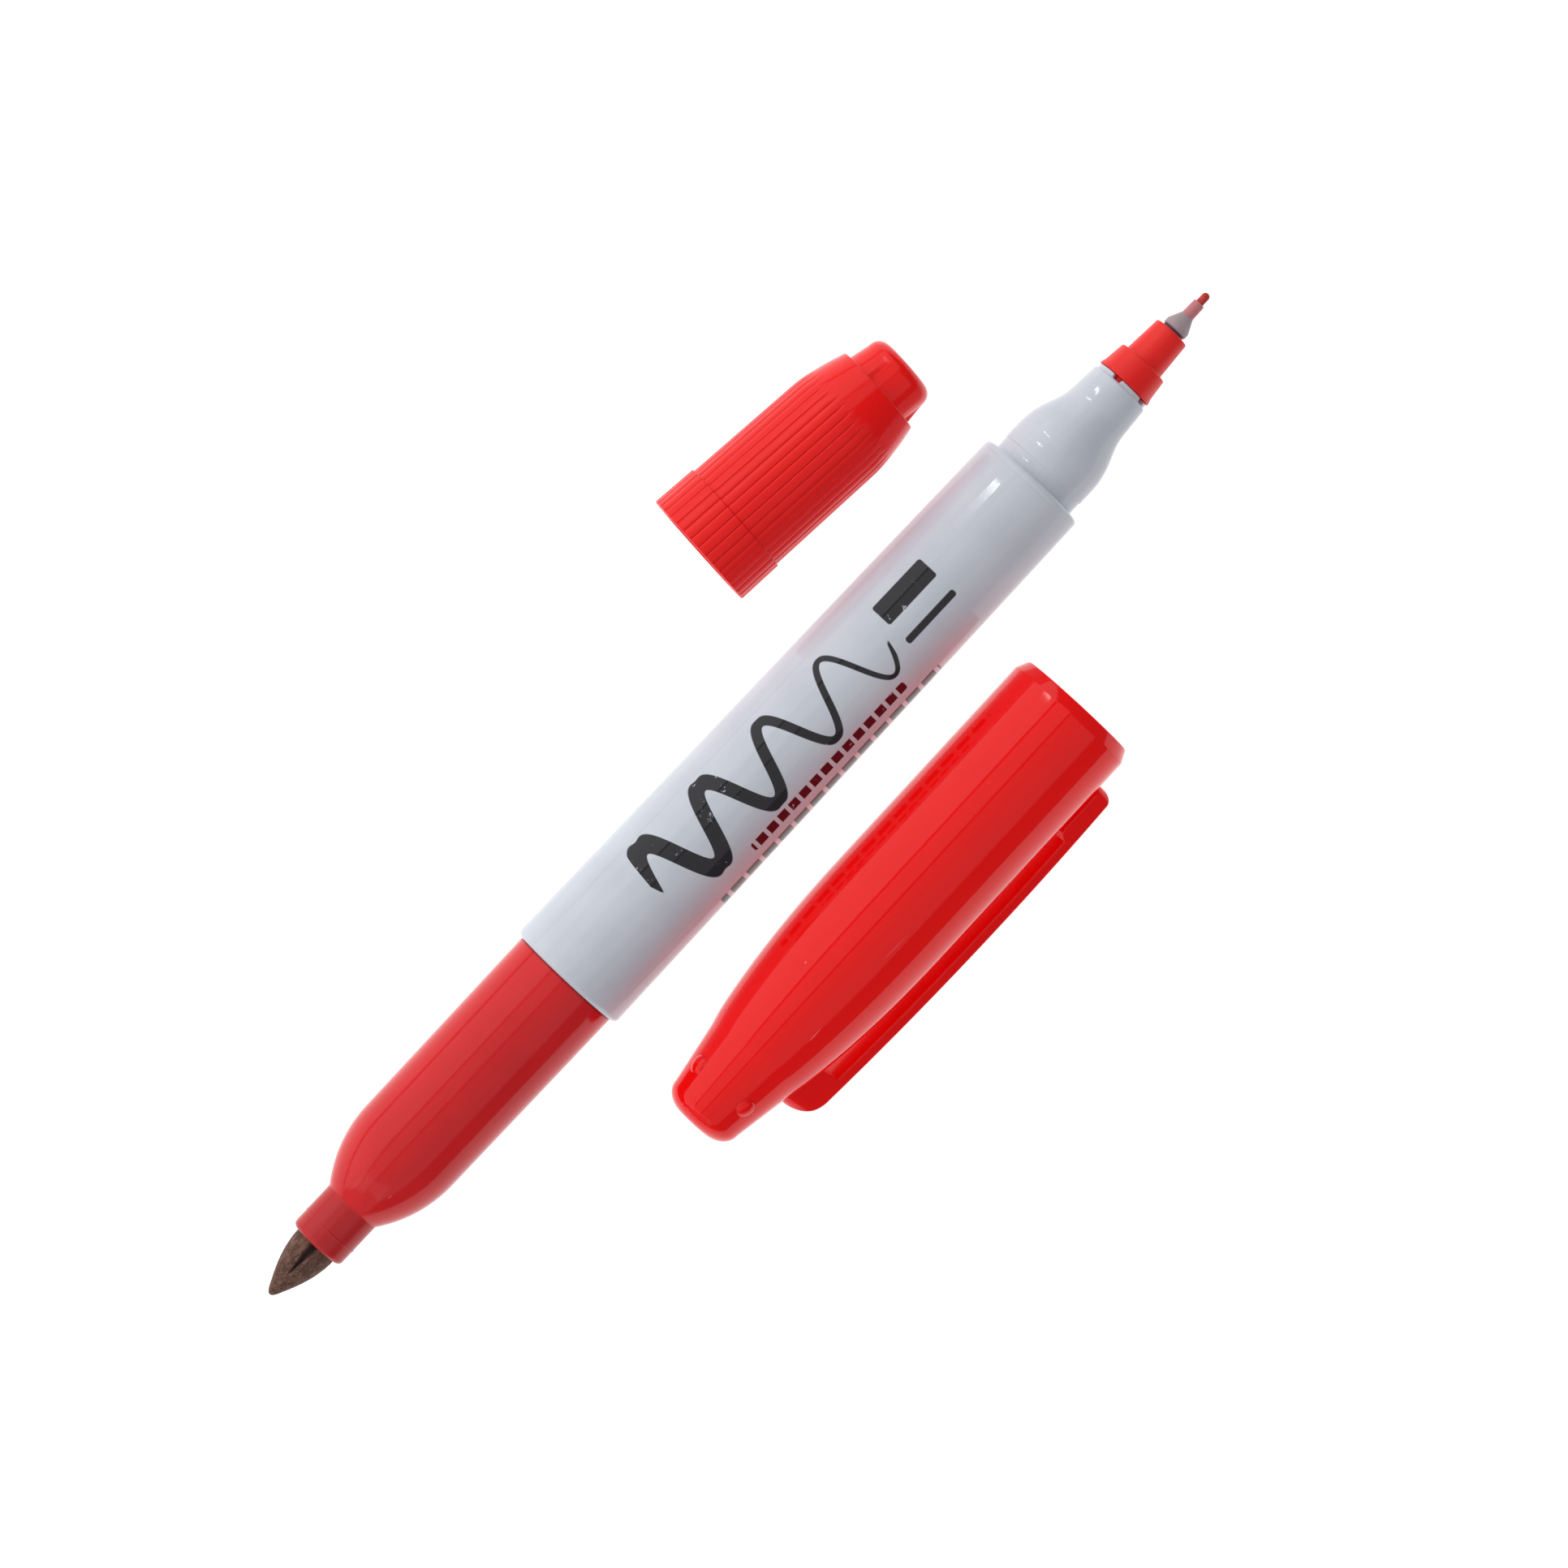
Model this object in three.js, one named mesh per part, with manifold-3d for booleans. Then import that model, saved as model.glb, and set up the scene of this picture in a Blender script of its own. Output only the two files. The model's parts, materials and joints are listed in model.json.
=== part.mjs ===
// Twin-tip felt marker, both caps off and lying beside it on a table.
// Millimetres, +Z up. The marker lies along X: fine tip towards +X, bullet tip towards -X.
// The fine tip's cap lies on the +Y side, the bullet tip's cap and its clip on the -Y side.
import * as THREE from 'three';
import { mergeVertices } from 'three/addons/utils/BufferGeometryUtils.js';
import Module from 'manifold-3d';

const wasm = await Module();
wasm.setup();

// ---------------------------------------------------------------- driving dimensions
// Radii are built from the inside out: what fits round a piece takes that piece's size,
// a clearance and a wall.

// General
const SEGMENTS = 36; // flats round a turned piece
const FIT = 0.1; // radial clearance between pieces pushed together along the marker
const SEAT = 0.3; // clearance between pieces that rest on each other inside a turned cap
const FACE_GAP = 0.05; // clearance between faces that butt along the marker

// Barrel: one moulding with the nose that carries the fine tip
const BARREL_LENGTH = 67.2;
const BORE_R = 4.75; // bore that holds the ink reservoir
const BARREL_WALL = 1.23; // at the fine end
const BARREL_RIM_ROUND = 0.6; // at the bullet end
const BARREL_END_ROUND = 0.45; // at the fine end
const SOCKET_WALL = 0.86; // round the socket at the bullet end
const SOCKET_DEPTH = 12;
const SPIGOT_WALL = 0.85;
const SPIGOT_LENGTH = 11.5;
const RESERVOIR_STOP = 1.4; // the bore narrows this far inside the fine end

// Nose
const NECK_STEP = 1.01; // the fine cap's mouth meets this step
const NECK_WALL = 1.07;
const NECK_BAND = 1.4; // slightly sunk band next to the barrel's end face
const NECK_SINK = 0.07;
const NECK_STRAIGHT = 3.0;
const NECK_BORE_LENGTH = 3.8;
const NOSE_LENGTH = 12.6;
const NOSE_WAIST = 9.8; // from the barrel's end face to the end of the S curve
const NOSE_WAIST_FLARE = 0.2; // how much wider than the nose's end the waist is
const NOSE_BORE_R = 2.45;
const NOSE_BORE_START = 7.4; // from the barrel's end face
const NOSE_WALL = 0.81; // at the nose's end

// Castle ring at the nose's end
const CASTLE_WALL = 0.57;
const CASTLE_LENGTH = 0.48;
const CASTLE_NOTCHES = 5;
const CASTLE_NOTCH_WIDTH = 0.95;
const CASTLE_PHASE = 16; // degrees from straight up, towards +Y

// Front section: red sleeve, dome and collar at the bullet end
const SLEEVE_STEP = 0.22; // the sleeve is this much larger than the socket
const SLEEVE_DRAFT = 0.12; // fall in radius along the sleeve
const SLEEVE_LENGTH = 22.58;
const SLEEVE_BORE_MARGIN = 1; // the bore ends this far before the dome starts
const DOME_LENGTH = 8.2;
const COLLAR_WALL = 0.63;
const COLLAR_LENGTH = 5.24;
const COLLAR_ROUND = 0.5;
const NIB_BORE_RUN = 7.4; // length of the cone from the sleeve's bore to the nib's bore

// Bullet nib
const NIB_R = 2.35;
const NIB_OGIVE_LENGTH = 6.72;
const NIB_TIP_ROUND = 0.32;
const NIB_IN_RESERVOIR = 4.88;
const NIB_REAR_CHAMFER = 0.9;
const NIB_SLIT_LENGTH = 3.4;
const NIB_SLIT_WIDTH = 0.3;
const NIB_SLIT_DEPTH = 0.45;

// Fine ferrule
const FERRULE_BORE_R = 1.32;
const FERRULE_SPIGOT_LENGTH = 4.6;
const FERRULE_FLANGE_LENGTH = 2.88;
const FERRULE_FLANGE_WALL_REAR = 0.71; // beyond the nose's bore
const FERRULE_FLANGE_WALL_FRONT = 0.31;
const FERRULE_FLARE = 0.6; // length of the flare at the flange's rear edge
const FERRULE_TIER_LENGTH = 4.12;
const FERRULE_TIER_WALL_REAR = 0.88; // beyond the ferrule's bore
const FERRULE_TIER_WALL_FRONT = 0.6;

// Nib pipe and fine nib
const PIPE_STANDOFF = 0.28;
const PIPE_LIP = 0.02; // the pipe's flange is this much larger than the ferrule's bore
const PIPE_FLANGE_LENGTH = 0.62;
const PIPE_CONE_LENGTH = 1.4;
const PIPE_WALL = 0.15;
const PIPE_TUBE_LENGTH = 1.66;
const PIPE_SPIGOT_LENGTH = 5.2;
const FINE_NIB_R = 0.42;
const FINE_NIB_CLEAR = 0.08;
const FINE_NIB_PROUD = 1.28;
const FINE_NIB_IN_RESERVOIR = 6;

// Ink reservoir and its film
const RESERVOIR_INTO_SLEEVE = 20.4; // how far it reaches into the front section
const RESERVOIR_STOP_GAP = 0.4;
const FILM_OUTER_CLEAR = 0.24; // to the bore
const FILM_THICK = 0.2;
const FILM_CLEAR = 0.06; // to the fibre
const FILM_INSET = 0.5;

// Broad cap: fits the front section. Its stations run from its closed end to its mouth.
const BROAD_CLEAR = 0.23; // over the sleeve
const BROAD_WALL = 0.9;
const BROAD_BACK_LENGTH = 10.81; // from the inner seal's back to the closed end
const BROAD_END_WALL = 1.2;
const BROAD_END_R = 4.22;
const BROAD_END_ROUND = 2.0;
const BROAD_END_FLAT_R = 1.6;
const BROAD_CONE_LENGTH = 8.6;
const BROAD_CONE_R = 5.36;
const BROAD_TAPER_LENGTH = 30;
const BROAD_TAPER_POWER = 2.4;
const BROAD_CHAMFER_LENGTH = 1.28;
const BROAD_CHAMFER_DROP = 0.61;
const BUMP_COUNT = 4;
const BUMP_R = 0.9;
const BUMP_HEIGHT = 0.18;
const BUMP_FROM_END = 4.7;
const BUMP_PHASE = 5; // degrees round from the clip

// Broad cap's inner seal: a thimble that closes on the collar
const BROAD_SEAL_WALL = 0.75;
const BROAD_SEAL_CLEAR = 0.15; // over the collar
const BROAD_SEAL_OVERLAP = 4.4; // length of collar it covers
const BROAD_SEAL_NIB_ROOM = 1.6; // beyond the nib's tip
const BROAD_SEAL_FLANGE_LENGTH = 1.2;

// Clip
const CLIP_START = 7.4; // from the cap's closed end
const CLIP_MOUTH_GAP = 4.2; // from the clip's free end to the cap's mouth
const CLIP_WIDTH = 4.2;
const CLIP_THICK = 1.27;
const CLIP_GAP = 1.42; // between the shell and the blade at its crest
const CLIP_CREST_AT = 36;
const CLIP_BOW = 0.00136; // fall of the outer face per square millimetre from the crest
const CLIP_ROOT_ROUND = 3.0;
const CLIP_TIP_ROUND = 1.0;
const CLIP_PLAN_ROUND = 1.1;
const CLIP_ROOT_BLOCK = 5.0;
const CLIP_PAD_LENGTH = 6.5;
const CLIP_SPLIT = 0.3; // slot between the flexing blade and its root
const CLIP_LIFT = 0.05; // the clip's lowest corner clears the table by this much

// Fine cap: fits the nose. Its stations run from its mouth to its closed end.
const FINE_CAP_NECK_CLEAR = 0.28; // over the neck
const FINE_CAP_BAND_WALL = 1.17;
const FINE_CAP_BAND_LENGTH = 4.9;
const FINE_CAP_BAND_DRAFT = 0.08;
const FINE_CAP_BAND_STEP = 0.2;
const FINE_CAP_BODY_DRAFT = 0.16;
const FINE_CAP_WALL = 1.0;
const FINE_CAP_NIB_ROOM = 0.86; // beyond the fine nib's tip
const FINE_CAP_END_WALL = 1.3;
const FINE_CAP_SHOULDER_LENGTH = 5.95;
const FINE_CAP_SHOULDER_DROP = 1.06;
const FINE_CAP_BUTTON_STEP = 0.99;
const FINE_CAP_BUTTON_LENGTH = 3.75;
const FINE_CAP_BUTTON_ROUND = 1.3;
const FINE_CAP_BUTTON_WALL = 1.23;
const FINE_CAP_LOBE_HEIGHT = 0.35;
const FINE_CAP_LOBE_LENGTH = 2.3;
const FINE_CAP_LOBE_COUNT = 2;
const FINE_CAP_LOBE_WIDTH = 75; // degrees
const FINE_CAP_LOBE_MIDDLE = 57; // degrees from straight up, towards +Y
const FINE_CAP_FLUTES = 36;
const FINE_CAP_FLUTE_DEPTH = 0.16;
const FINE_CAP_FLUTE_MARGIN = 3.45; // the flutes fade out this far before the button

// Fine cap's inner seal: a short tube that closes on the ferrule's front tier
const FINE_SEAL_CLEAR = 0.2;
const FINE_SEAL_WALL = 0.65;
const FINE_SEAL_SETBACK = 0.64; // from the tier's rear edge to the seal's mouth
const FINE_SEAL_LENGTH = 5.8;
const FINE_SEAL_FLANGE_LENGTH = 0.9;

// How the caps lie on the table beside the marker, and their turn about +Z
const BROAD_CAP_END_X = -35.45; // closed end, from the barrel's middle
const BROAD_CAP_SPACE = 5.25; // clear space between the marker and the cap's closed end line
const BROAD_CAP_YAW = 0.5;
const FINE_CAP_MOUTH_X = 6.05; // mouth, from the barrel's middle
const FINE_CAP_SPACE = 6.36;
const FINE_CAP_YAW = -5.12;

// ---------------------------------------------------------------- sizes that follow

const spigotR = BORE_R + SPIGOT_WALL;
const socketR = spigotR + FIT;
const barrelBulletR = socketR + SOCKET_WALL;
const barrelFineR = BORE_R + BARREL_WALL;
const neckR = barrelFineR - NECK_STEP;
const neckBoreR = neckR - NECK_WALL;
const noseEndR = NOSE_BORE_R + NOSE_WALL;
const noseWaistR = noseEndR + NOSE_WAIST_FLARE;
const castleR = NOSE_BORE_R + CASTLE_WALL;
const sleeveRootR = socketR + SLEEVE_STEP;
const sleeveEndR = sleeveRootR - SLEEVE_DRAFT;
const nibBoreR = NIB_R + FIT;
const collarR = nibBoreR + COLLAR_WALL;
const ferruleTierR = FERRULE_BORE_R + FERRULE_TIER_WALL_REAR;
const pipeBoreR = FINE_NIB_R + FINE_NIB_CLEAR;
const pipeTubeR = pipeBoreR + PIPE_WALL;
const filmOuterR = BORE_R - FILM_OUTER_CLEAR;
const filmInnerR = filmOuterR - FILM_THICK;
const reservoirR = filmInnerR - FILM_CLEAR;
const broadBoreR = sleeveRootR + BROAD_CLEAR;
const broadR = broadBoreR + BROAD_WALL;
const clipCrestR = broadR + CLIP_GAP + CLIP_THICK;
const fineCapMouthR = neckR + FINE_CAP_NECK_CLEAR;
const fineBandR = fineCapMouthR + FINE_CAP_BAND_WALL;
const fineBodyR = fineBandR - FINE_CAP_BAND_DRAFT - FINE_CAP_BAND_STEP;
const fineBodyEndR = fineBodyR - FINE_CAP_BODY_DRAFT;
const fineShoulderR = fineBodyEndR - FINE_CAP_SHOULDER_DROP;
const fineButtonR = fineShoulderR - FINE_CAP_BUTTON_STEP;
const fineButtonBoreR = fineButtonR - FINE_CAP_BUTTON_WALL;

// Stations along the marker, from the barrel's middle
const barrelHalf = BARREL_LENGTH / 2;
const noseEnd = barrelHalf + NOSE_LENGTH;
const castleEnd = noseEnd + CASTLE_LENGTH;
const ferruleStep = castleEnd + FERRULE_FLANGE_LENGTH;
const ferruleEnd = ferruleStep + FERRULE_TIER_LENGTH;
const pipeFlange = ferruleEnd + PIPE_STANDOFF;
const pipeCone = pipeFlange + PIPE_FLANGE_LENGTH;
const pipeTube = pipeCone + PIPE_CONE_LENGTH;
const pipeEnd = pipeTube + PIPE_TUBE_LENGTH;
const fineTip = pipeEnd + FINE_NIB_PROUD;
const sleeveEnd = -barrelHalf - SLEEVE_LENGTH;
const collarRoot = sleeveEnd - DOME_LENGTH;
const collarEnd = collarRoot - COLLAR_LENGTH;
const bulletTip = collarEnd - NIB_OGIVE_LENGTH;
const reservoirEnd = barrelHalf - RESERVOIR_STOP - RESERVOIR_STOP_GAP;
const reservoirStart = -barrelHalf - RESERVOIR_INTO_SLEEVE;
const nibRear = reservoirStart + NIB_IN_RESERVOIR;
const fineNibRear = reservoirEnd - FINE_NIB_IN_RESERVOIR;

// Stations along the broad cap, from its closed end
const broadReach = -barrelHalf - bulletTip; // from its mouth to the bullet nib's tip
const broadSealDepth = broadReach + BROAD_SEAL_NIB_ROOM;
const broadLength = broadSealDepth + BROAD_SEAL_WALL + BROAD_BACK_LENGTH;
const broadSealFloor = broadLength - broadSealDepth;
const broadSealMouth = broadLength - (-barrelHalf - collarEnd) + BROAD_SEAL_OVERLAP;
const clipEnd = broadLength - CLIP_MOUTH_GAP;
const clipSlotStart = CLIP_START + CLIP_ROOT_BLOCK;
const clipPadStart = clipEnd - CLIP_PAD_LENGTH;

// Stations along the fine cap, from its mouth
const fineReach = fineTip - barrelHalf; // from its mouth to the fine nib's tip
const fineCapLength = fineReach + FINE_CAP_NIB_ROOM + FINE_CAP_END_WALL;
const fineButton = fineCapLength - FINE_CAP_BUTTON_LENGTH;
const fineShoulder = fineButton - FINE_CAP_SHOULDER_LENGTH;
const fineFluteEnd = fineButton - FINE_CAP_FLUTE_MARGIN;
const fineSealMouth = ferruleStep - barrelHalf + FINE_SEAL_SETBACK;
const fineSealBack = fineSealMouth + FINE_SEAL_LENGTH;

// ---------------------------------------------------------------- helpers

const radians = THREE.MathUtils.degToRad;

// Signed volume of an indexed closed mesh: positive when its faces point out.
function signedVolume(geometry) {
  const p = geometry.getAttribute('position');
  const index = geometry.getIndex();
  const [a, b, c] = [new THREE.Vector3(), new THREE.Vector3(), new THREE.Vector3()];
  let sum = 0;
  for (let i = 0; i < index.count; i += 3) {
    a.fromBufferAttribute(p, index.getX(i));
    b.fromBufferAttribute(p, index.getX(i + 1));
    c.fromBufferAttribute(p, index.getX(i + 2));
    sum += a.dot(b.cross(c)) / 6;
  }
  return sum;
}

// Shared vertices merged, collapsed triangles dropped, faces turned out.
function closedSurface(source) {
  const bare = source.clone();
  bare.deleteAttribute('normal');
  bare.deleteAttribute('uv');
  const merged = mergeVertices(bare, 1e-4);
  const old = merged.getIndex();
  const kept = [];
  for (let i = 0; i < old.count; i += 3) {
    const [a, b, c] = [old.getX(i), old.getX(i + 1), old.getX(i + 2)];
    if (a !== b && b !== c && c !== a) kept.push(a, b, c);
  }
  merged.setIndex(kept);
  if (signedVolume(merged) < 0) {
    for (let i = 0; i < kept.length; i += 3) [kept[i], kept[i + 1]] = [kept[i + 1], kept[i]];
    merged.setIndex(kept);
  }
  return merged;
}

function toSolid(source) {
  const surface = closedSurface(source);
  const vertProperties = new Float32Array(surface.getAttribute('position').array);
  const triVerts = new Uint32Array(surface.getIndex().array);
  return new wasm.Manifold(new wasm.Mesh({ numProp: 3, vertProperties, triVerts }));
}

function toGeometry(solid) {
  const mesh = solid.getMesh();
  const geometry = new THREE.BufferGeometry();
  const positions = new Float32Array(mesh.numVert * 3);
  for (let v = 0; v < mesh.numVert; v += 1) {
    for (let k = 0; k < 3; k += 1) {
      positions[3 * v + k] = mesh.vertProperties[v * mesh.numProp + k];
    }
  }
  geometry.setAttribute('position', new THREE.BufferAttribute(positions, 3));
  geometry.setIndex(Array.from(mesh.triVerts));
  return geometry;
}

// A turned piece about the X axis, from [x, radius] stations.
function turned(stations, segments = SEGMENTS) {
  const points = stations.map(([x, r]) => new THREE.Vector2(r, x));
  const geometry = new THREE.LatheGeometry(points, segments);
  geometry.rotateZ(-Math.PI / 2);
  return closedSurface(geometry);
}

// A turned ring: its profile closes on itself.
function turnedRing(stations, segments = SEGMENTS) {
  return turned([...stations, stations[0]], segments);
}

// Stations on an ellipse arc about [x, r], from one angle to another in degrees.
function arc(x, r, radiusX, radiusR, from, to, steps) {
  const stations = [];
  for (let i = 0; i <= steps; i += 1) {
    const angle = radians(from + ((to - from) * i) / steps);
    stations.push([x + radiusX * Math.cos(angle), r + radiusR * Math.sin(angle)]);
  }
  return stations;
}

// Stations on a smooth cubic curve between two stations, with its two handles.
function curve(start, handleA, handleB, end, steps) {
  const bezier = new THREE.CubicBezierCurve(
    new THREE.Vector2(...start),
    new THREE.Vector2(...handleA),
    new THREE.Vector2(...handleB),
    new THREE.Vector2(...end),
  );
  return bezier.getPoints(steps).map((p) => [p.x, p.y]);
}

function sampled(from, to, steps, radiusAt) {
  const stations = [];
  for (let i = 0; i <= steps; i += 1) {
    const x = from + ((to - from) * i) / steps;
    stations.push([x, radiusAt(x)]);
  }
  return stations;
}

function piece(name, geometry, color, roughness, metalness = 0) {
  const surface = geometry.toNonIndexed();
  surface.computeVertexNormals();
  const material = new THREE.MeshStandardMaterial({ color, roughness, metalness });
  const mesh = new THREE.Mesh(surface, material);
  mesh.name = name;
  return mesh;
}

// ---------------------------------------------------------------- marker

function makeBarrel() {
  const bulletEnd = -barrelHalf;
  const neckEnd = barrelHalf + NECK_STRAIGHT;
  const waist = barrelHalf + NOSE_WAIST;
  const curveLength = waist - neckEnd;
  const stations = [
    [bulletEnd, socketR],
    ...arc(bulletEnd + BARREL_RIM_ROUND, barrelBulletR - BARREL_RIM_ROUND,
      BARREL_RIM_ROUND, BARREL_RIM_ROUND, 180, 90, 3),
    ...arc(barrelHalf - BARREL_END_ROUND, barrelFineR - BARREL_END_ROUND,
      BARREL_END_ROUND, BARREL_END_ROUND, 90, 0, 3),
    [barrelHalf, neckR - NECK_SINK],
    [barrelHalf + NECK_BAND, neckR - NECK_SINK],
    [barrelHalf + NECK_BAND + 0.1, neckR],
    ...curve([neckEnd, neckR], [neckEnd + curveLength * 0.52, neckR],
      [waist - curveLength * 0.4, noseWaistR + 0.1], [waist, noseWaistR], 8),
    [noseEnd - 0.15, noseEndR],
    [noseEnd, noseEndR - 0.12],
    [noseEnd, castleR],
    [castleEnd, castleR],
    [castleEnd, NOSE_BORE_R],
    [barrelHalf + NOSE_BORE_START, NOSE_BORE_R],
    [barrelHalf + NECK_BORE_LENGTH, neckBoreR],
    [barrelHalf - RESERVOIR_STOP + 0.8, neckBoreR],
    [barrelHalf - RESERVOIR_STOP, BORE_R],
    [bulletEnd + SOCKET_DEPTH, BORE_R],
    [bulletEnd + SOCKET_DEPTH, socketR],
  ];
  let solid = toSolid(turnedRing(stations));
  for (let i = 0; i < CASTLE_NOTCHES; i += 1) {
    const notch = new THREE.BoxGeometry(2 * CASTLE_LENGTH, CASTLE_NOTCH_WIDTH, noseEndR);
    notch.translate(castleEnd, 0, NOSE_BORE_R + noseEndR / 2 - 0.4);
    notch.rotateX(radians(-CASTLE_PHASE + (360 * i) / CASTLE_NOTCHES));
    solid = solid.subtract(toSolid(notch));
  }
  return toGeometry(solid);
}

function makeFrontSection() {
  const shoulder = -barrelHalf - FACE_GAP;
  const spigotEnd = -barrelHalf + SPIGOT_LENGTH;
  const drop = sleeveEndR - collarR;
  const domeR = (DOME_LENGTH ** 2 + drop ** 2) / (2 * drop);
  const domeAt = (x) => sleeveEndR - domeR + Math.sqrt(domeR ** 2 - (x - sleeveEnd) ** 2);
  const boreEnd = sleeveEnd + SLEEVE_BORE_MARGIN;
  const round = Math.min(COLLAR_ROUND, 0.8 * COLLAR_WALL);
  const stations = [
    [spigotEnd, BORE_R],
    [spigotEnd, spigotR - 0.25],
    [spigotEnd - 0.5, spigotR],
    [shoulder, spigotR],
    [shoulder, sleeveRootR],
    ...sampled(sleeveEnd, collarRoot, 7, domeAt),
    ...arc(collarEnd + round, collarR - round, round, round, 90, 180, 3),
    [collarEnd, nibBoreR],
    [boreEnd - NIB_BORE_RUN, nibBoreR],
    [boreEnd, BORE_R],
  ];
  return turnedRing(stations);
}

function makeBulletNib() {
  const bodyAt = (d) => {
    const ogive = NIB_R * (1 - ((NIB_OGIVE_LENGTH - d) / NIB_OGIVE_LENGTH) ** 2);
    const blunt = Math.sqrt(2 * NIB_TIP_ROUND * d);
    return d < 4 * NIB_TIP_ROUND ? Math.max(ogive, blunt) : ogive;
  };
  const shares = [0, 0.04, 0.12, 0.22, 0.36, 0.52, 0.7, 0.86, 1];
  const reach = shares.map((f) => f * NIB_OGIVE_LENGTH);
  const stations = [
    [nibRear, 0],
    [nibRear, NIB_R - NIB_REAR_CHAMFER],
    [nibRear - NIB_REAR_CHAMFER, NIB_R],
    ...reach.reverse().map((d) => [bulletTip + d, bodyAt(d)]),
  ];
  const slit = new THREE.BoxGeometry(2 * NIB_SLIT_LENGTH, NIB_SLIT_WIDTH, 2 * NIB_SLIT_DEPTH);
  slit.translate(collarEnd, 0, NIB_R);
  return toGeometry(toSolid(turned(stations, 24)).subtract(toSolid(slit)));
}

function makeFerrule() {
  const rear = castleEnd - FERRULE_SPIGOT_LENGTH;
  const flange = castleEnd + FACE_GAP;
  const flangeRearR = NOSE_BORE_R + FERRULE_FLANGE_WALL_REAR;
  const flangeFrontR = NOSE_BORE_R + FERRULE_FLANGE_WALL_FRONT;
  const tierFrontR = FERRULE_BORE_R + FERRULE_TIER_WALL_FRONT;
  const stations = [
    [rear, FERRULE_BORE_R],
    [rear, NOSE_BORE_R - FIT - 0.3],
    [rear + 0.5, NOSE_BORE_R - FIT],
    [flange, NOSE_BORE_R - FIT],
    [flange, flangeRearR],
    [flange + FERRULE_FLARE, flangeRearR - 0.16],
    [ferruleStep - 0.12, flangeFrontR],
    [ferruleStep, flangeFrontR - 0.1],
    [ferruleStep, ferruleTierR],
    [ferruleEnd - 0.1, tierFrontR],
    [ferruleEnd, tierFrontR - 0.1],
    [ferruleEnd, FERRULE_BORE_R],
  ];
  return turnedRing(stations);
}

function makeNibPipe() {
  const rear = pipeFlange - PIPE_SPIGOT_LENGTH;
  const plugR = FERRULE_BORE_R - FIT;
  const flangeR = FERRULE_BORE_R + PIPE_LIP;
  const stations = [
    [rear, pipeBoreR],
    [rear, plugR],
    [pipeFlange, plugR],
    [pipeFlange + 0.08, flangeR],
    [pipeCone, flangeR],
    [pipeTube, pipeTubeR],
    [pipeEnd - 0.08, pipeTubeR - 0.02],
    [pipeEnd, pipeTubeR - 0.08],
    [pipeEnd, pipeBoreR],
  ];
  return turnedRing(stations, 24);
}

function makeFineNib() {
  const stations = [
    [fineNibRear, 0],
    [fineNibRear, FINE_NIB_R],
    ...arc(fineTip - FINE_NIB_R, 0, FINE_NIB_R, FINE_NIB_R, 90, 0, 3),
  ];
  stations[stations.length - 1][1] = 0;
  return turned(stations, 16);
}

// A plain rod of ink-soaked fibre with a blind hole at each end for the nibs.
function makeReservoir() {
  const fineHoleR = FINE_NIB_R + FIT;
  const stations = [
    [nibRear + FIT, 0],
    [nibRear + FIT, nibBoreR],
    [reservoirStart, nibBoreR],
    [reservoirStart, reservoirR],
    [reservoirEnd, reservoirR],
    [reservoirEnd, fineHoleR],
    [fineNibRear - FIT, fineHoleR],
    [fineNibRear - FIT, 0],
  ];
  return turned(stations, 24);
}

function makeReservoirFilm() {
  const from = reservoirStart + FILM_INSET;
  const to = reservoirEnd - FILM_INSET;
  const stations = [[from, filmInnerR], [from, filmOuterR], [to, filmOuterR], [to, filmInnerR]];
  return turnedRing(stations);
}

// ---------------------------------------------------------------- broad cap

// Outer radius of the broad cap's shell, x millimetres from its closed end.
function broadRadius(x) {
  if (x < BROAD_CONE_LENGTH) {
    const t = (x - BROAD_END_ROUND) / (BROAD_CONE_LENGTH - BROAD_END_ROUND);
    return BROAD_END_R + (BROAD_CONE_R - BROAD_END_R) * t;
  }
  if (x > BROAD_TAPER_LENGTH) return broadR;
  const left = (BROAD_TAPER_LENGTH - x) / (BROAD_TAPER_LENGTH - BROAD_CONE_LENGTH);
  return broadR - (broadR - BROAD_CONE_R) * left ** BROAD_TAPER_POWER;
}

function clipOuter(x) {
  return clipCrestR - CLIP_BOW * (x - CLIP_CREST_AT) ** 2;
}

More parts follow.
